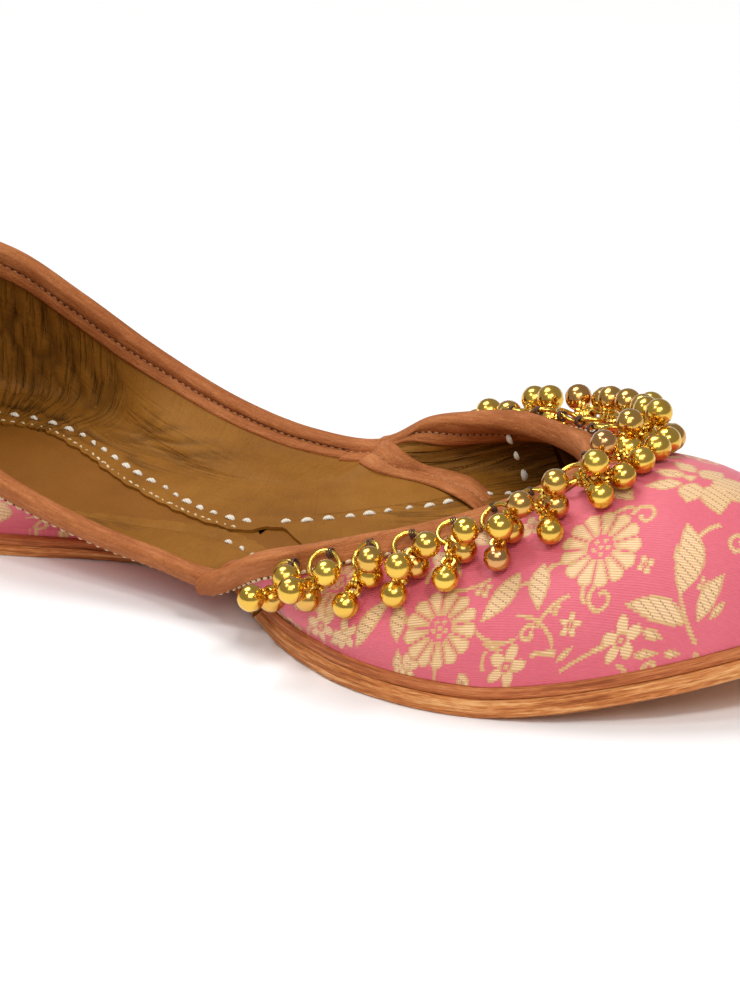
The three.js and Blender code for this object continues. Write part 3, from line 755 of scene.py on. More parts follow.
# %% [markdown]
# ## The inside, as one sweep
# The lining runs down the wall and turns in over the insole without a corner. Its path is found for
# each turn: down the inner face, then level over the insole, then smoothed as soft leather would be.
# Every piece inside, such as the lining, the quarter's ends and the stitches, lies on this sweep.

# %% The inner sweep
STEP, SOFTNESS = 0.5, 2.2


class Inside:
    """The inner sweep at turns t: places at a distance s down from the topline, with a lift inward."""

    def __init__(self, t):
        self.t = t
        walls = wall_points(t, wall_length(t) * np.linspace(0, 1, 60), -WALL)
        insets = LEDGE + WALL + np.linspace(0.5, 38, 50)
        board = np.stack([sole_edge(t, inset + 0 * t) for inset in insets], 1) + (MIDDLE_X, 0, -99)
        path = np.concatenate([walls, board], 1)
        path[..., 2] = np.maximum(path[..., 2], insole_top(path[..., 0] - MIDDLE_X) + 0.9)
        run = np.cumsum(np.linalg.norm(np.diff(path, axis=1, prepend=path[:, :1]), axis=2), axis=1)
        self.s = np.arange(0, 112, STEP)
        even = np.stack([[np.interp(self.s, run[i], path[i, :, k]) for k in range(3)] for i in range(len(t))])
        even = even.transpose(0, 2, 1)
        weight = np.exp(-0.5 * (np.arange(-12, 13) * STEP / SOFTNESS) ** 2)
        padded = np.concatenate([2 * even[:, :1] - even[:, 12:0:-1], even, np.repeat(even[:, -1:], 12, 1)], 1)
        self.path = sum(w * padded[:, k : k + len(self.s)] for k, w in enumerate(weight / weight.sum()))
        normal = np.cross(np.gradient(self.path, axis=0), np.gradient(self.path, axis=1)) * np.sign(t[1] - t[0])
        self.normal = normal / np.maximum(np.linalg.norm(normal, axis=-1, keepdims=True), 1e-9)
        edge, inward = sole_edge(t, 0 * t) + (MIDDLE_X, 0, 0), sole_edge(t, 0 * t + 1) - sole_edge(t, 0 * t)
        self.inset = np.maximum.accumulate(np.einsum("nmk,nk->nm", self.path - edge[:, None], inward), axis=1)

    def reach(self, inset):
        """How far down the sweep an inset from the sole's edge lies."""
        return np.array([np.interp(inset[i], self.inset[i], self.s * (1 + 1e-6)) for i in range(len(self.t))])

    def at(self, s, lift):
        """Points (n, m) at distances s (n, m), going straight on above the topline."""
        above_top = np.minimum(s, 0)
        s = np.clip(s, 0, self.s[-1])
        start = (self.path[:, 4] - self.path[:, 0]) / (4 * STEP)
        out = np.empty(s.shape + (3,))
        lift = np.broadcast_to(lift, s.shape)
        for i in range(len(self.t)):
            for k in range(3):
                out[i, :, k] = np.interp(s[i], self.s, self.path[i, :, k])
                out[i, :, k] += lift[i] * np.interp(s[i], self.s, self.normal[i, :, k]) + above_top[i] * start[i, k]
        return out


HAND_EDGE = np.array([  # turn from the heel round by the near side, inset of the stitches, inset of the edge
    (0.0, 11.5, 15.5), (1.5, 7.0, 11.0), (3.0, 4.8, 8.6), (7.0, 5.0, 8.6), (9.0, 6.5, 10.5), (12.0, 8.0, 12.0),
    (17.0, 7.5, 15.0), (21.5, 9.0, 22.0), (23.8, 13.5, 28.0), (24.6, 17.3, 32.0), (25.5, 18.8, 33.0),
    (26.2, 21.5, 36.0), (26.45, 22.5, 27.5), (26.55, 22.7, 25.2), (26.70, 23.2, 25.6), (26.8, 23.3, 28.0), (26.96, 23.5, 28.0),
    (27.14, 22.0, 26.6), (27.3, 20.8, 25.0), (27.66, 17.8, 22.2), (28.0, 15.3, 20.6), (28.5, 14.8, 19.4),
    (28.9, 13.8, 18.0), (29.36, 12.7, 17.3), (29.7, 13.6, 17.5), (30.15, 14.3, 18.6), (30.6, 15.2, 20.0),
    (31.5, 14.6, 18.8), (34.0, 11.5, 15.5)])


def stitch_inset(t):
    return np.interp(np.mod(t, LOOP), HAND_EDGE[:, 0], HAND_EDGE[:, 1])


def edge_inset(t):
    return np.interp(np.mod(t, LOOP), HAND_EDGE[:, 0], HAND_EDGE[:, 2])


check = Inside(np.linspace(28, 29, 5))
print("stitches lie", check.reach(stitch_inset(check.t)).round(1), "mm down the sweep")

# %% [markdown]
# The lining was pulled over the last wet and dried in folds, so it isn't smooth. The deep folds are
# laid from a table, in the shoe's own turns and depths: upright pleats at the heel, a fan of
# creases where heel and waist meet, and long furrows inside the vamp. Fine wrinkles between them are
# left to the leather's bump, weighted by where the real lining has them.
# Folds and fine wrinkles also darken the lining's colour, as painted shade in the creases.

# %% Folds of the lining
FOLDS = [  # turn and distance down where it starts, and where it ends, width, depth
    (0.25, 9, 0.2, 41, 0.9, 0.45), (0.8, 8, 0.75, 42, 1.0, 0.5), (1.3, 10, 1.35, 40, 0.8, 0.45),
    (1.75, 8, 1.7, 41, 1.1, 0.55), (2.15, 12, 2.2, 39, 0.8, 0.5), (2.5, 8, 2.45, 38, 1.0, 0.6),
    (2.75, 14, 2.8, 36, 0.7, 0.45), (3.0, 9, 3.05, 36, 0.9, 0.6), (3.22, 16, 3.3, 33, 0.7, 0.5),
    (3.42, 8, 3.5, 31, 0.9, 0.55), (3.62, 14, 3.72, 29, 0.7, 0.5), (3.85, 9, 3.95, 27, 0.8, 0.5),
    (4.1, 13, 4.25, 26, 0.7, 0.45), (4.35, 8, 4.5, 25, 0.8, 0.4), (4.62, 24, 5.25, 11, 0.5, 0.3),
    (4.72, 25, 5.6, 11, 0.5, 0.4), (4.8, 25.5, 5.95, 11, 0.55, 0.45), (4.86, 26, 6.15, 13, 0.5, 0.4),
    (4.95, 26, 6.2, 15, 0.55, 0.4), (5.05, 26.5, 6.1, 18, 0.5, 0.3), (5.2, 27, 6.0, 21, 0.5, 0.3),
    (2.81, 44, 3.58, 35.5, 0.8, 0.6), (3.58, 35.5, 4.41, 30.0, 0.8, 0.65), (4.41, 30.0, 5.06, 27.0, 0.7, 0.6),
    (5.06, 27.0, 5.74, 30.0, 0.7, 0.4), (3.3, 40, 4.2, 33.5, 0.7, 0.4), (4.2, 33.5, 5.0, 30.0, 0.6, 0.4),
    (9.2, 8.0, 11.6, 7.6, 0.7, 0.45), (9.2, 9.6, 12.0, 9.4, 0.9, 0.6), (9.4, 11.0, 12.2, 11.6, 0.8, 0.5),
    (9.6, 12.6, 12.5, 14.0, 0.9, 0.6), (9.9, 14.2, 12.8, 16.6, 0.8, 0.5), (10.2, 16.0, 13.2, 20.0, 1.0, 0.5),
    (10.8, 19.0, 13.6, 24.0, 1.0, 0.4), (11.0, 8.4, 13.0, 9.0, 0.8, 0.4)]
ROW_PACE = 8.5  # mm along the wall in one row of the last


def fold_depth(row, s):
    """How deep each point of the sweep lies in the folds."""
    deep = 0 * s
    for index, (t0, s0, t1, s1, width, depth) in enumerate(FOLDS):
        ahead, down = (t1 - t0) * ROW_PACE, s1 - s0
        x, y = (row - t0) * ROW_PACE, s - s0
        span = math.hypot(ahead, down)
        share = np.clip((x * ahead + y * down) / span**2, 0, 1)
        sway = (0.9 * np.sin(share * 6.0 + index * 1.7) + 0.35 * np.sin(share * 17 + index)) * np.sin(math.pi * share)
        beyond = np.hypot(x - share * ahead, y - share * down)
        off = np.where((share <= 0) | (share >= 1), beyond, np.abs((x * down - y * ahead) / span + sway))
        fade = np.sin(math.pi * np.clip(share, 0.05, 0.95)) ** 0.5
        deep = np.maximum(deep, depth * np.exp(-((off / width) ** 2)) * fade)
    return deep


def patch(row, s, t0, t1, s0, s1):
    """1 inside a patch of the sweep, fading out round it."""
    along_t = smooth_step((row - t0) / 0.6) * smooth_step((t1 - row) / 0.6)
    return along_t * smooth_step((s - s0) / 4.0) * smooth_step((s1 - s) / 4.0)


# %% Lining, turned in over the insole
t = turns(0, LOOP, 19)
sweep = Inside(t)
scallop = 0.45 * np.abs(np.sin(t * 9.5)) + 0.25 * np.sin(t * 31.0)
last = sweep.reach(edge_inset(t) + scallop)[:, None]
s_face = 0.8 + (last - 0.8) * np.linspace(0, 1, 76)[None, :]
folds = fold_depth(from_heel(t)[:, None] + 0 * s_face, s_face)
tuck = sweep.reach(stitch_inset(t))[:, None]
pulled = 0.3 * np.exp(-(((s_face - tuck) / 1.3) ** 2)) * (0.7 + 0.3 * np.cos(t[:, None] * 16))
face = sweep.at(s_face, 0.05 - folds * 0.9 - pulled)
back = sweep.at(s_face[:, ::-7], -0.62)
skin = np.concatenate([face, back, face[:, :1]], 1)
s_all = np.concatenate([s_face, s_face[:, ::-7], s_face[:, :1]], 1)
row = from_heel(t)[:, None] + 0 * s_all
run = travelled(on_loop(TOP_LOOP, t))
shaded = np.concatenate([folds / 0.6, 0 * s_face[:, ::-7], folds[:, :1]], 1)
# Fold holds fold depth only to paint shade into the creases; Pleats and Furrows weight the wrinkles' bump and their
# painted shade.
marks = {"Fold": np.clip(shaded, 0, 1), "Pleats": patch(row, s_all, -1, 4.9, 5, 46) + 0.15,
         "Furrows": patch(row, s_all, 8.4, 14.5, 2, 40) + 0.3 * patch(row, s_all, 4.5, 6.6, 10, 32) + 0.1}
flat = np.stack([run[:, None] + 0 * s_all, s_all], -1)
lining = lay_sheet("lining_skin", skin, flat, LINING.material, 70, marks=marks)
print("deepest fold", round(float(folds.max()), 2), "mm")

# %% [markdown]
# ## Bindings
# A leather strip is folded over each topline and stitched through. Over the fold it stands up in a
# soft roll, the stitches pull it down into a groove, and below them it lies flat. The profile is
# drawn once as distances below the topline and off the wall, and swept round the shoe.


# %% Bindings
ROLL_OVER = 1.3  # how far the fold stands off the wall
COLLAR_STITCH, THROAT_STITCH, INNER_STITCH = 4.8, 5.5, 3.1


def binding_profile(outer_width, outer_stitch, inner_width):
    """Rows of (below, side, lift): side 1 is the outer leg, -1 the inner one, 0 the fold."""
    w, s = outer_width, outer_stitch
    outer_leg = [(w, 0.04), (w, 0.4), (w - 0.15, 0.55), (s + 0.2, 0.6), (s, 0.5), (s - 0.4, 0.75),
                 (s - 1.0, 0.9), (s - 1.9, 1.0), (1.4, 1.15), (0.25, ROLL_OVER)]
    w, s = inner_width, INNER_STITCH
    inner_leg = [(0.25, ROLL_OVER), (max(s - 2.0, 0.9), 1.32), (s - 1.1, 1.2), (s - 0.45, 0.9), (s, 0.55),
                 (s + 0.45, 0.85), (w - 0.6, 0.85), (w - 0.2, 0.72), (w, 0.45), (w, 0.04)]
    rows = [(below, 1, lift) for below, lift in outer_leg]
    for angle in np.radians((10, 35, 60, 90, 120, 145, 170)):
        rows.append((-ROLL_OVER * math.sin(angle), 0, math.cos(angle)))
    rows += [(below, -1, lift) for below, lift in inner_leg]
    rows += [(inner_width * 0.5, -1, 0.03), (0.3, -1, 0.03), (0.3, 1, 0.03), (outer_width * 0.5, 1, 0.03)]
    return rows + rows[:1]


def narrowed(t):
    """A strip is narrower where the wall is too low for its full width."""
    return np.minimum(1, wall_length(t) * 0.8 / 6.4)


def sweep_binding(name, t, lift, rows, node, tuck, sink):
    """Sweeps a profile along turns t, with the outer face at lift.

    Where tuck is 1 the inner leg is hidden in the wall, and sink lowers the whole strip."""
    below = np.stack([0 * t + b for b, _, _ in rows], 1)
    below = np.where(below > 0, below * narrowed(t), below) + sink[:, None]
    middle, half_width = (lift - WALL) / 2, (lift + WALL) / 2 + ROLL_OVER
    columns = []
    for _, leg, off in rows:
        inner_leg = -WALL - off * (1 - tuck) + 0.4 * tuck
        columns.append({1: lift + off, -1: inner_leg, 0: middle + half_width * off}[leg])
    places = wall_points(t, below, np.stack(columns, 1))
    run, climb = travelled(places[:, 12]), travelled(places[len(t) // 2])
    flat = np.stack(np.broadcast_arrays(run[:, None], climb[None, :]), -1)
    piece = lay_sheet(name, places, flat, BINDING.material, 60)
    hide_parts(node)


def throat_lift(t):
    """The vamp's strip stands off more at its ends, where it passes over the collar's strip."""
    return OVERLAP + 0.55 * smooth_step(0.6 - (np.minimum(t, LOOP - t) - JOINT) / 0.5)


t = turns(-JOINT - 0.02, JOINT + 0.02, 12)
sweep_binding("collar_strip", t, 0 * t, binding_profile(5.3, COLLAR_STITCH, 6.6), "collar_binding", 0 * t, 0 * t)
t = turns(JOINT - 0.16, LOOP - JOINT + 0.16, 12)
past_joint = np.minimum(t, LOOP - t) - JOINT
sweep_binding("throat_strip", t, throat_lift(t), binding_profile(6.0, THROAT_STITCH, 6.2), "throat_binding",
              smooth_step((0.45 - past_joint) / 0.25), 1.3 * smooth_step((0.02 - past_joint) / 0.2))


# %% [markdown]
# ## Stitches
# Each stitch is a short, plump bead of thread that dives into the leather at both ends. One bead is
# modelled from a sphere, stretched and bent down at its tips, and then copied along the line of the
# seam, each copy turned along the seam and joined into one piece.

# %% Rows of stitches
def bead(length, width, height, sides=6):
    """One plump stitch, along x, with its tips bent down."""
    bpy.ops.object.select_all(action="DESELECT")
    bpy.ops.mesh.primitive_uv_sphere_add(segments=sides, ring_count=sides, radius=1)
    piece = bpy.context.object
    bpy.ops.object.mode_set(mode="EDIT")
    bpy.ops.mesh.select_all(action="SELECT")
    bpy.ops.transform.rotate(value=math.pi / 2, orient_axis="Y", center_override=(0, 0, 0))
    bpy.ops.transform.resize(value=(length * MM / 2, width * MM / 2, height * MM / 2))
    bpy.ops.object.mode_set(mode="OBJECT")
    for vertex in piece.data.vertices:
        share = abs(vertex.co.x) / (length * MM / 2)
        vertex.co.z -= height * MM * 0.5 * share**2
    return piece


def frames_along(points, ups):
    """Unit axes at each point: along the row, across it and up off the surface."""
    ahead = unit(np.gradient(points, axis=0))
    up_axis = unit(ups - ahead * np.sum(ups * ahead, axis=1, keepdims=True))
    return ahead, np.cross(up_axis, ahead), up_axis


def row_of_spots(line, lifted, marks):
    """Spots at distances along a line, with up toward the lifted line."""
    run = travelled(line)
    points, ups = (np.stack([np.interp(marks, run, rows[:, k]) for k in range(3)], 1) for rows in (line, lifted - line))
    return list(zip(points, *frames_along(points, ups)))


def scatter(name, model, spots, finish, shake):
    """Joins copies of a model at spots of (point, ahead, across, up), in one mesh."""
    start = np.array([v.co for v in model.data.vertices])
    faces = [tuple(p.vertices) for p in model.data.polygons]
    verts, polygons = [], []
    for point, ahead, across_axis, up_axis in spots:
        twist = random.uniform(-shake, shake)
        size = 1 + random.uniform(-shake, shake)
        x_axis = ahead * math.cos(twist) + across_axis * math.sin(twist)
        y_axis = across_axis * math.cos(twist) - ahead * math.sin(twist)
        base = len(verts)
        local = start[:, :1] * x_axis * size + start[:, 1:2] * y_axis * size + start[:, 2:] * up_axis
        verts.extend((local + np.asarray(point) * MM).tolist())
        polygons.extend(tuple(v + base for v in face) for face in faces)
    model.data.clear_geometry()
    model.data.from_pydata(verts, [], polygons)
    model.name = model.data.name = name
    model.data.materials.append(finish.material)
    model.location = (0, 0, 0)
    bpy.context.view_layer.objects.active = model
    model.select_set(True)
    bpy.ops.object.shade_smooth()
    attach(model, "root")
    print(name, len(spots), "copies,", len(polygons), "faces")


def thread(name, color, rough=0.6):
    f = Finish(name, Roughness=rough)
    twist = f.add("TexWave", {"bands_direction": "DIAGONAL"}, {"Vector": f.place(), "Scale": 900.0, "Distortion": 2.0})
    deep = tuple(c * 0.62 for c in color[:3]) + (1,)
    f.drive("Base Color", f.mix(twist * 0.6, color, deep))
    f.bump(twist, 0.00008)
    return f


SEAM_THREAD = thread("seam_thread", tint(232, 206, 162))
INNER_THREAD = thread("inner_seam_thread", tint(192, 132, 84))
# Needle holes are small dark beads at each stitch's end: painted shade standing for the shadow inside a hole.
HOLE_SHADE = Finish("needle_hole_shade", Base_Color=tint(78, 40, 20))
HOLE_SHADE.drive("Roughness", HOLE_SHADE.noise(HOLE_SHADE.place(), 900.0) * 0.3 + 0.6)
WHITE_THREAD = thread("white_thread", tint(238, 228, 208), 0.75)
DARK_THREAD = thread("dark_thread", tint(92, 62, 44))


def wall_row(start, end, below, lift, pitch):
    """Stitch spots at an even pitch along the wall, at a lift that may depend on the turn."""
    t = np.linspace(start, end, 900)
    lift = lift(t)[:, None]
    line, lifted = (wall_points(t, below * narrowed(t), lift + more)[:, 0] for more in (0, np.sign(lift) * 0.5))
    return row_of_spots(line, lifted, np.arange(pitch / 2, travelled(line)[-1], pitch))


def moved_on(rows, distance):
    return [(point + ahead * distance, ahead, *others) for point, ahead, *others in rows]


OUTER_PITCH, INNER_PITCH, OUTER_LIFT, INNER_LIFT = 2.2, 1.75, 0.85, -WALL - 0.72
on_collar, on_throat = lambda t: OUTER_LIFT + 0 * t, lambda t: throat_lift(t) + OUTER_LIFT
on_lining = lambda t: INNER_LIFT + 0 * t
outside_rows = wall_row(-JOINT + 0.1, JOINT - 0.1, COLLAR_STITCH, on_collar, OUTER_PITCH)
outside_rows += wall_row(JOINT - 0.1, LOOP - JOINT + 0.1, THROAT_STITCH, on_throat, OUTER_PITCH)
inside_rows = wall_row(-JOINT, JOINT, INNER_STITCH, on_lining, INNER_PITCH)
inside_rows += wall_row(JOINT + 0.05, LOOP - JOINT - 0.05, INNER_STITCH, on_lining, INNER_PITCH)
INNER_BEAD = (1.2, 0.5, 0.45)
for name, size, rows, finish, shake in (
        ("outer_seam_stitches", (1.75, 0.85, 0.8), outside_rows, SEAM_THREAD, 0.12),
        ("inner_seam_stitches", INNER_BEAD, inside_rows, INNER_THREAD, 0.15),
        # The two rows of holes are dark beads of painted shade.
        ("inner_seam_holes", (0.62, 0.55, 0.3), moved_on(inside_rows, 0.9), HOLE_SHADE, 0.2),
        ("outer_seam_holes", (0.7, 0.55, 0.3), moved_on(outside_rows, 1.05), HOLE_SHADE, 0.2)):
    scatter(name, bead(*size), rows, finish, shake)

# %% [markdown]
# ## Insole, sock and white stitches
# Under the lining's margin lies the insole board, and on it a thin leather sock from the heel to past
# the waist. The margin is held by thick white stitches, made by hand and a little uneven.

# %% Insole, sock and white stitches
INSOLE_INSET = LEDGE + WALL + 4 * GAP
sole_layer("insole_board", "insole", INSOLE_INSET - 0.8, lambda x: midsole_top(x) + 0.05, insole_top, 0.5,
           SOCK)
sole_layer("sock_pad", "sock", INSOLE_INSET + 1.5, lambda x: insole_top(x) + 0.02, lambda x: insole_top(x) + 0.28,
           0.1, SOCK, end=126.0)


def spots_on(sweep, inset, lift, pitch, keep):
    """Hand-stitched spots along an inset of the sweep, where keep says so of x and y."""
    s = sweep.reach(inset)[:, None]
    line, lifted = sweep.at(s, lift)[:, 0], sweep.at(s, lift + 0.5)[:, 0]
    marks = [pitch / 2]
    while marks[-1] < travelled(line)[-1]:
        marks.append(marks[-1] + pitch * random.uniform(0.92, 1.08))
    return [spot for spot in row_of_spots(line, lifted, marks[:-1]) if keep(*spot[0][:2])]


def on_margin(x, y):
    """The hand stitches skip a notch at the far waist and end early at the near one."""
    return not (-19.5 < x < -13 and y > -8) and not (x < -21 and y < -4)


fine_turns = np.linspace(3.0, LOOP + 0.5, 1600)
fine_sweep = Inside(fine_turns)
white_rows = spots_on(fine_sweep, stitch_inset(fine_turns), 0.10, 4.6, on_margin)
edge_rows = spots_on(fine_sweep, edge_inset(fine_turns) - 0.9, 0.12, 2.3, lambda x, y: y > -8 and x < -20)
scatter("margin_edge_stitches", bead(1.2, 0.5, 0.4), edge_rows, SEAM_THREAD, 0.5)
scatter("insole_stitches", bead(2.3, 1.35, 0.8, sides=8), white_rows, WHITE_THREAD, 0.3)

# %% [markdown]
# ## Front ends of the quarter
# Inside the vamp the quarter runs on past the joint, slanting down to the insole, and its binding
# runs along its edge. It is a second skin on the inner sweep, with the binding's own profile swept
# along the slanting edge.

# %% Quarter ends
QUARTER_EDGE = np.array([  # turn from the joint's side, distance down of the slanting edge
    (7.6, -0.9), (7.95, -0.8), (8.2, 1.0), (8.6, 5.0), (9.0, 8.6), (9.4, 11.0), (9.7, 14.6), (10.07, 22.0),
    (10.5, 31.0)])
END_PROFILE = [  # distance from the edge, lift
    (0.3, 0.1), (6.8, 0.1), (6.8, 0.45), (6.6, 0.7), (6.2, 0.82), (3.75, 0.85), (3.3, 0.5), (2.85, 0.9), (2.2, 1.2),
    (1.3, 1.35), (0.4, 1.3), (-0.2, 1.05), (-0.4, 0.7), (-0.2, 0.3), (0.3, 0.1)]
END_STITCH = 3.3


def evened(values):
    """A running mean, for a softly bent edge."""
    return np.convolve(np.pad(values, 8, "edge"), np.ones(17) / 17, "valid")


def quarter_end(name, near, node):
    """Lays one end and its strip, and gives back the spots of its stitches."""
    t = np.linspace(7.6, 10.45, 100)
    sweep = Inside(t if near else LOOP - t)
    edge = evened(np.interp(t, QUARTER_EDGE[:, 0], QUARTER_EDGE[:, 1]))
    slope = evened(np.gradient(edge, t)) / 11.5
    stretch = 0.93 + (np.sqrt(1 + slope**2) - 0.93) * smooth_step((t - 8.0) / 0.4)
    rise = -0.08 + 0.9 * smooth_step((t - 8.0) / 0.5) - 2.6 * smooth_step((t - 9.95) / 0.4)
    hidden_start = 0.5 * (1 - smooth_step((t - 7.6) / 0.3))[:, None]
    down = np.stack([edge + stretch * s for s, _ in END_PROFILE], 1)
    strip = sweep.at(down, np.stack([rise + lift for _, lift in END_PROFILE], 1))
    flat = np.stack(np.broadcast_arrays(travelled(strip[:, 5])[:, None], down - edge[:, None]), -1)
    band = lay_sheet(name + "_strip", strip, flat, BINDING.material, 60)
    foot = np.maximum(sweep.reach(stitch_inset(sweep.t) - 2.0), edge + 4)
    share = np.linspace(0, 1, 24)[None, :]
    s_face = (edge + stretch * 2)[:, None] * (1 - share) + foot[:, None] * share
    face = sweep.at(s_face, 0.09 + (rise[:, None] + 0.08) * (1 - share) ** 0.5 - hidden_start)
    back = sweep.at(s_face[:, ::-1], 0.02 - hidden_start + 0 * s_face)
    skin = np.concatenate([face, back, face[:, :1]], 1)
    s_all = np.concatenate([s_face, s_face[:, ::-1], s_face[:, :1]], 1)
    piece = lay_sheet(name, skin, np.stack([t[:, None] * 9 + 0 * s_all, s_all], -1), LINING.material, 70)
    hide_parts(node)
    seam = (edge + stretch * END_STITCH)[:, None]
    line, lifted = (sweep.at(seam, (rise + lift)[:, None])[:, 0] for lift in (0.7, 1.2))
    return row_of_spots(line, lifted, np.arange(0.9, travelled(line)[-1], INNER_PITCH))


end_rows = quarter_end("quarter_end_near", True, "quarter_front_near")
end_rows += quarter_end("quarter_end_far", False, "quarter_front_far")
scatter("quarter_end_stitches", bead(*INNER_BEAD), end_rows, INNER_THREAD, 0.15)

# %% [markdown]
# ## Gold bells
# The bells are hollow brass balls with a gold wash, hung by short wire loops from jump rings. Polished
# metal takes its look from what it mirrors, so the material is simple: a warm metal with faint
# tarnish that changes its roughness. Each bell has its own tone, from rose to yellow.

# %% Gold finish
GOLD = Finish("gold_wash", Metallic=1.0)
tarnish = GOLD.noise(GOLD.place(), 160.0)
GOLD.drive("Base Color", GOLD.ramp(GOLD.mark("Batch") * 0.8 + tarnish * 0.2, (0.0, (204, 146, 100)),
                                   (0.3, (212, 162, 88)), (0.6, (226, 182, 80)), (1.0, (240, 200, 90))))
GOLD.drive("Roughness", tarnish * 0.22 + 0.09)
GOLD.bump(GOLD.noise(GOLD.place(), 900.0, 2.0), 0.00002)
print("gold ready")

# %% [markdown]
# A bell is a sphere with a pinched seam round its waist, where its two halves meet, and a little
# collar on top that holds the wire loop. It is modelled once. The ring and the loops are tori with
# a thin wire. Every cluster gets its own copies, placed where its CAD solid hangs.

# %% One bell, one loop and one ring
BELL, RING, WIRE, PITCH = 6.0, 7.8, 1.1, 9.6
RING_BELOW, BELL_ROWS = 6.4, {"near": 12.2, "middle": 15.2, "far": 17.6}
BELL_LIFT, RING_LIFT, STACK = BELL / 2 + OVERLAP + GAP, OVERLAP + FOLD + 1.4, 5.5


def shaped(add, edit=None):
    """Adds a primitive, shapes it, and gives back its vertices and faces."""
    bpy.ops.object.select_all(action="DESELECT")
    add()
    model = bpy.context.object
    if edit:
        edit(model)
    verts = np.array([v.co for v in model.data.vertices])
    faces = [tuple(p.vertices) for p in model.data.polygons]
    bpy.data.objects.remove(model)
    return verts, faces


def pinch_ball(model):
    for vertex in model.data.vertices:
        tall = vertex.co.z / (BELL / 2)
        seam = 1 - 0.035 * math.exp(-(tall / 0.07) ** 2)
        vertex.co.x *= seam
        vertex.co.y *= seam
    bpy.ops.object.mode_set(mode="EDIT")
    bpy.ops.mesh.select_all(action="DESELECT")
    bpy.ops.object.mode_set(mode="OBJECT")
    for face in model.data.polygons:
        face.select = face.center.z > BELL / 2 * 0.93
    bpy.ops.object.mode_set(mode="EDIT")
    bpy.ops.mesh.extrude_region_move(TRANSFORM_OT_translate={"value": (0, 0, BELL * 0.06)})
    bpy.ops.mesh.inset(thickness=BELL * 0.03)
    bpy.ops.object.mode_set(mode="OBJECT")


ball = shaped(lambda: bpy.ops.mesh.primitive_uv_sphere_add(segments=20, ring_count=14, radius=BELL / 2), pinch_ball)
ring = shaped(lambda: bpy.ops.mesh.primitive_torus_add(
    major_segments=30, minor_segments=8, major_radius=(RING - WIRE) / 2, minor_radius=WIRE / 2))
loop = shaped(lambda: bpy.ops.mesh.primitive_torus_add(
    major_segments=16, minor_segments=6, major_radius=1.35, minor_radius=0.4))
print("bell faces:", len(ball[1]), "ring faces:", len(ring[1]))


# %% Where the clusters hang
def spot(t, below, lift):
    """One point of the wall."""
    return wall_points(np.array([t]), np.array([[below]]), np.array([[lift]]))[0, 0]


def garland_turns():
    """Turns a pitch apart, from the throat's middle out to both sides."""
    middle, since, fine = [float(TOE)], 0.0, np.arange(TOE, LOOP - 9.6, 0.01)
    line = wall_points(fine, np.full((len(fine), 1), RING_BELOW), RING_LIFT)[:, 0]
    for i in range(1, len(fine)):
        since += np.linalg.norm(line[i] - line[i - 1])
        if since >= PITCH:
            middle.append(fine[i])
            middle.insert(0, LOOP - fine[i])
            since = 0.0
    return middle


# Each bell of a cluster: how far beside the ring in bells, its row down, how many bells off the vamp.
PAIR = [(-0.38, "far", 0), (0.36, "near", 0)]
PATTERNS = [PAIR + [(0.68, "near", 0.95)], PAIR + [(0.07, "middle", 1), (1.0, "near", 0.95)]]
WING = [(-0.1, "far", 0.25), (0, "far", 1.45), (0.85, "middle", 0.9)]


def bells_of(t, index):
    """Fewer, stacked bells hang on the wings, and one more each at the throat's middle."""
    if abs(t - TOE) > 6.2:
        return WING
    return PATTERNS[index % 2] + ([(0.73, "far", 0)] if abs(t - TOE) < 2.4 else [])


def axes_to(target, hint):
    """A turn whose z axis points along target and whose x axis leans to hint."""
    z = unit(target)
    y = unit(np.cross(z, hint))
    return np.stack([np.cross(y, z), y, z], 1)


def add_part(store, part, turn, place, tone=0.8):
    """Copies a part into a store of vertices, faces and tones."""
    verts, faces = part
    base = len(store[0])
    store[0].extend(((verts @ turn.T + place) * MM).tolist())
    store[1].extend(tuple(v + base for v in face) for face in faces)
    store[2].extend([tone] * len(verts))


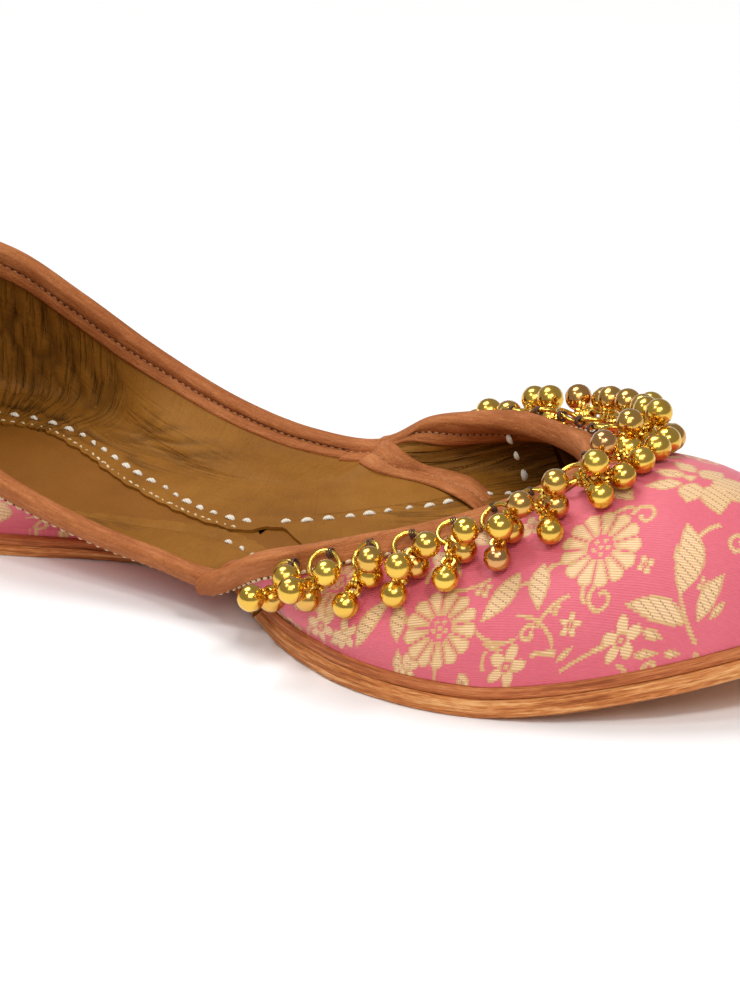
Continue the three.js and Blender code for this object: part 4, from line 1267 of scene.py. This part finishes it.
def cluster(index, t):
    """One jump ring with its bells, as one piece in place of its CAD solid."""
    store = ([], [], [])
    shrink = min(1.0, float(wall_length(np.array([t]))[0, 0]) * 0.6 / BELL_ROWS["far"])
    centre = spot(t, RING_BELOW, RING_LIFT)
    axis = spot(t, RING_BELOW, RING_LIFT + 1) - centre
    down = spot(t, RING_BELOW + 1, RING_LIFT) - centre
    tilt = 0.35 * math.sin(index * 2.3)
    stand = axis * math.cos(tilt) + np.cross(axis, down) * math.sin(tilt)
    add_part(store, ring, axes_to(stand, down), centre + axis * 0.25)
    lower = centre + unit(down) * (RING - WIRE) / 2
    for number, (beside, row, stack) in enumerate(bells_of(t, index)):
        below = BELL_ROWS[row] * shrink
        pace = np.linalg.norm(spot(t + 0.25, below, OVERLAP) - spot(t - 0.25, below, OVERLAP))
        turn = t + beside * BELL * 0.5 / pace
        place = spot(turn, below, BELL_LIFT + stack * STACK)
        toward = lower - place
        gap = np.linalg.norm(toward)
        toward = toward / gap
        sway = np.cross(toward, axis)
        add_part(store, ball, axes_to(toward, sway + 0.2 * axis), place, random.random())
        count = max(1, round((gap - BELL / 2) / 2.1))
        for k in range(count):
            step = BELL / 2 + 0.9 + (gap - BELL / 2 - 1.0) * k / max(1, count - 0.5)
            hint = sway if (k + number) % 2 else axis
            for shift in (-0.42, 0.42):
                add_part(store, loop, axes_to(hint, toward), place + toward * step + unit(hint) * shift)
    bpy.ops.object.select_all(action="DESELECT")
    bpy.ops.mesh.primitive_cube_add(size=MM)
    piece = bpy.context.object
    piece.data.clear_geometry()
    piece.data.from_pydata(store[0], [], store[1])
    piece.name = piece.data.name = f"bells_{index + 1:02d}"
    piece.data.attributes.new("Batch", "FLOAT", "POINT").data.foreach_set("value", store[2])
    piece.data.materials.append(GOLD.material)
    bpy.ops.object.shade_smooth_by_angle(angle=math.radians(50))
    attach(piece, "root")
    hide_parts(f"bell_cluster_{index + 1:02d}")
    return len(store[1])


garland = garland_turns()
print("clusters:", len(garland), "faces:", sum(cluster(i, t) for i, t in enumerate(garland)))

# %% [markdown]
# ## The thread that holds the rings
# Each ring is sewn down with a few turns of dark thread over its upper side. A turn is a small torus
# round the wire, pushed half into the binding.

# %% Ring ties
bpy.ops.mesh.primitive_torus_add(major_segments=14, minor_segments=5, major_radius=0.95 * MM, minor_radius=0.2 * MM)
tie_model = bpy.context.object
ties = []
for t in garland:
    for shift in (-0.035, 0.0, 0.035):
        place = spot(t + shift, RING_BELOW - (RING - WIRE) / 2, RING_LIFT - 0.1)
        behind, before = (spot(t + shift + step, RING_BELOW - 3, RING_LIFT) for step in (-0.05, 0.05))
        ahead = unit(before - behind)
        off = unit(spot(t, RING_BELOW, RING_LIFT + 1) - spot(t, RING_BELOW, RING_LIFT))
        ties.append((place, np.cross(ahead, off), off, ahead))
scatter("ring_ties", tie_model, ties, DARK_THREAD, 0.1)
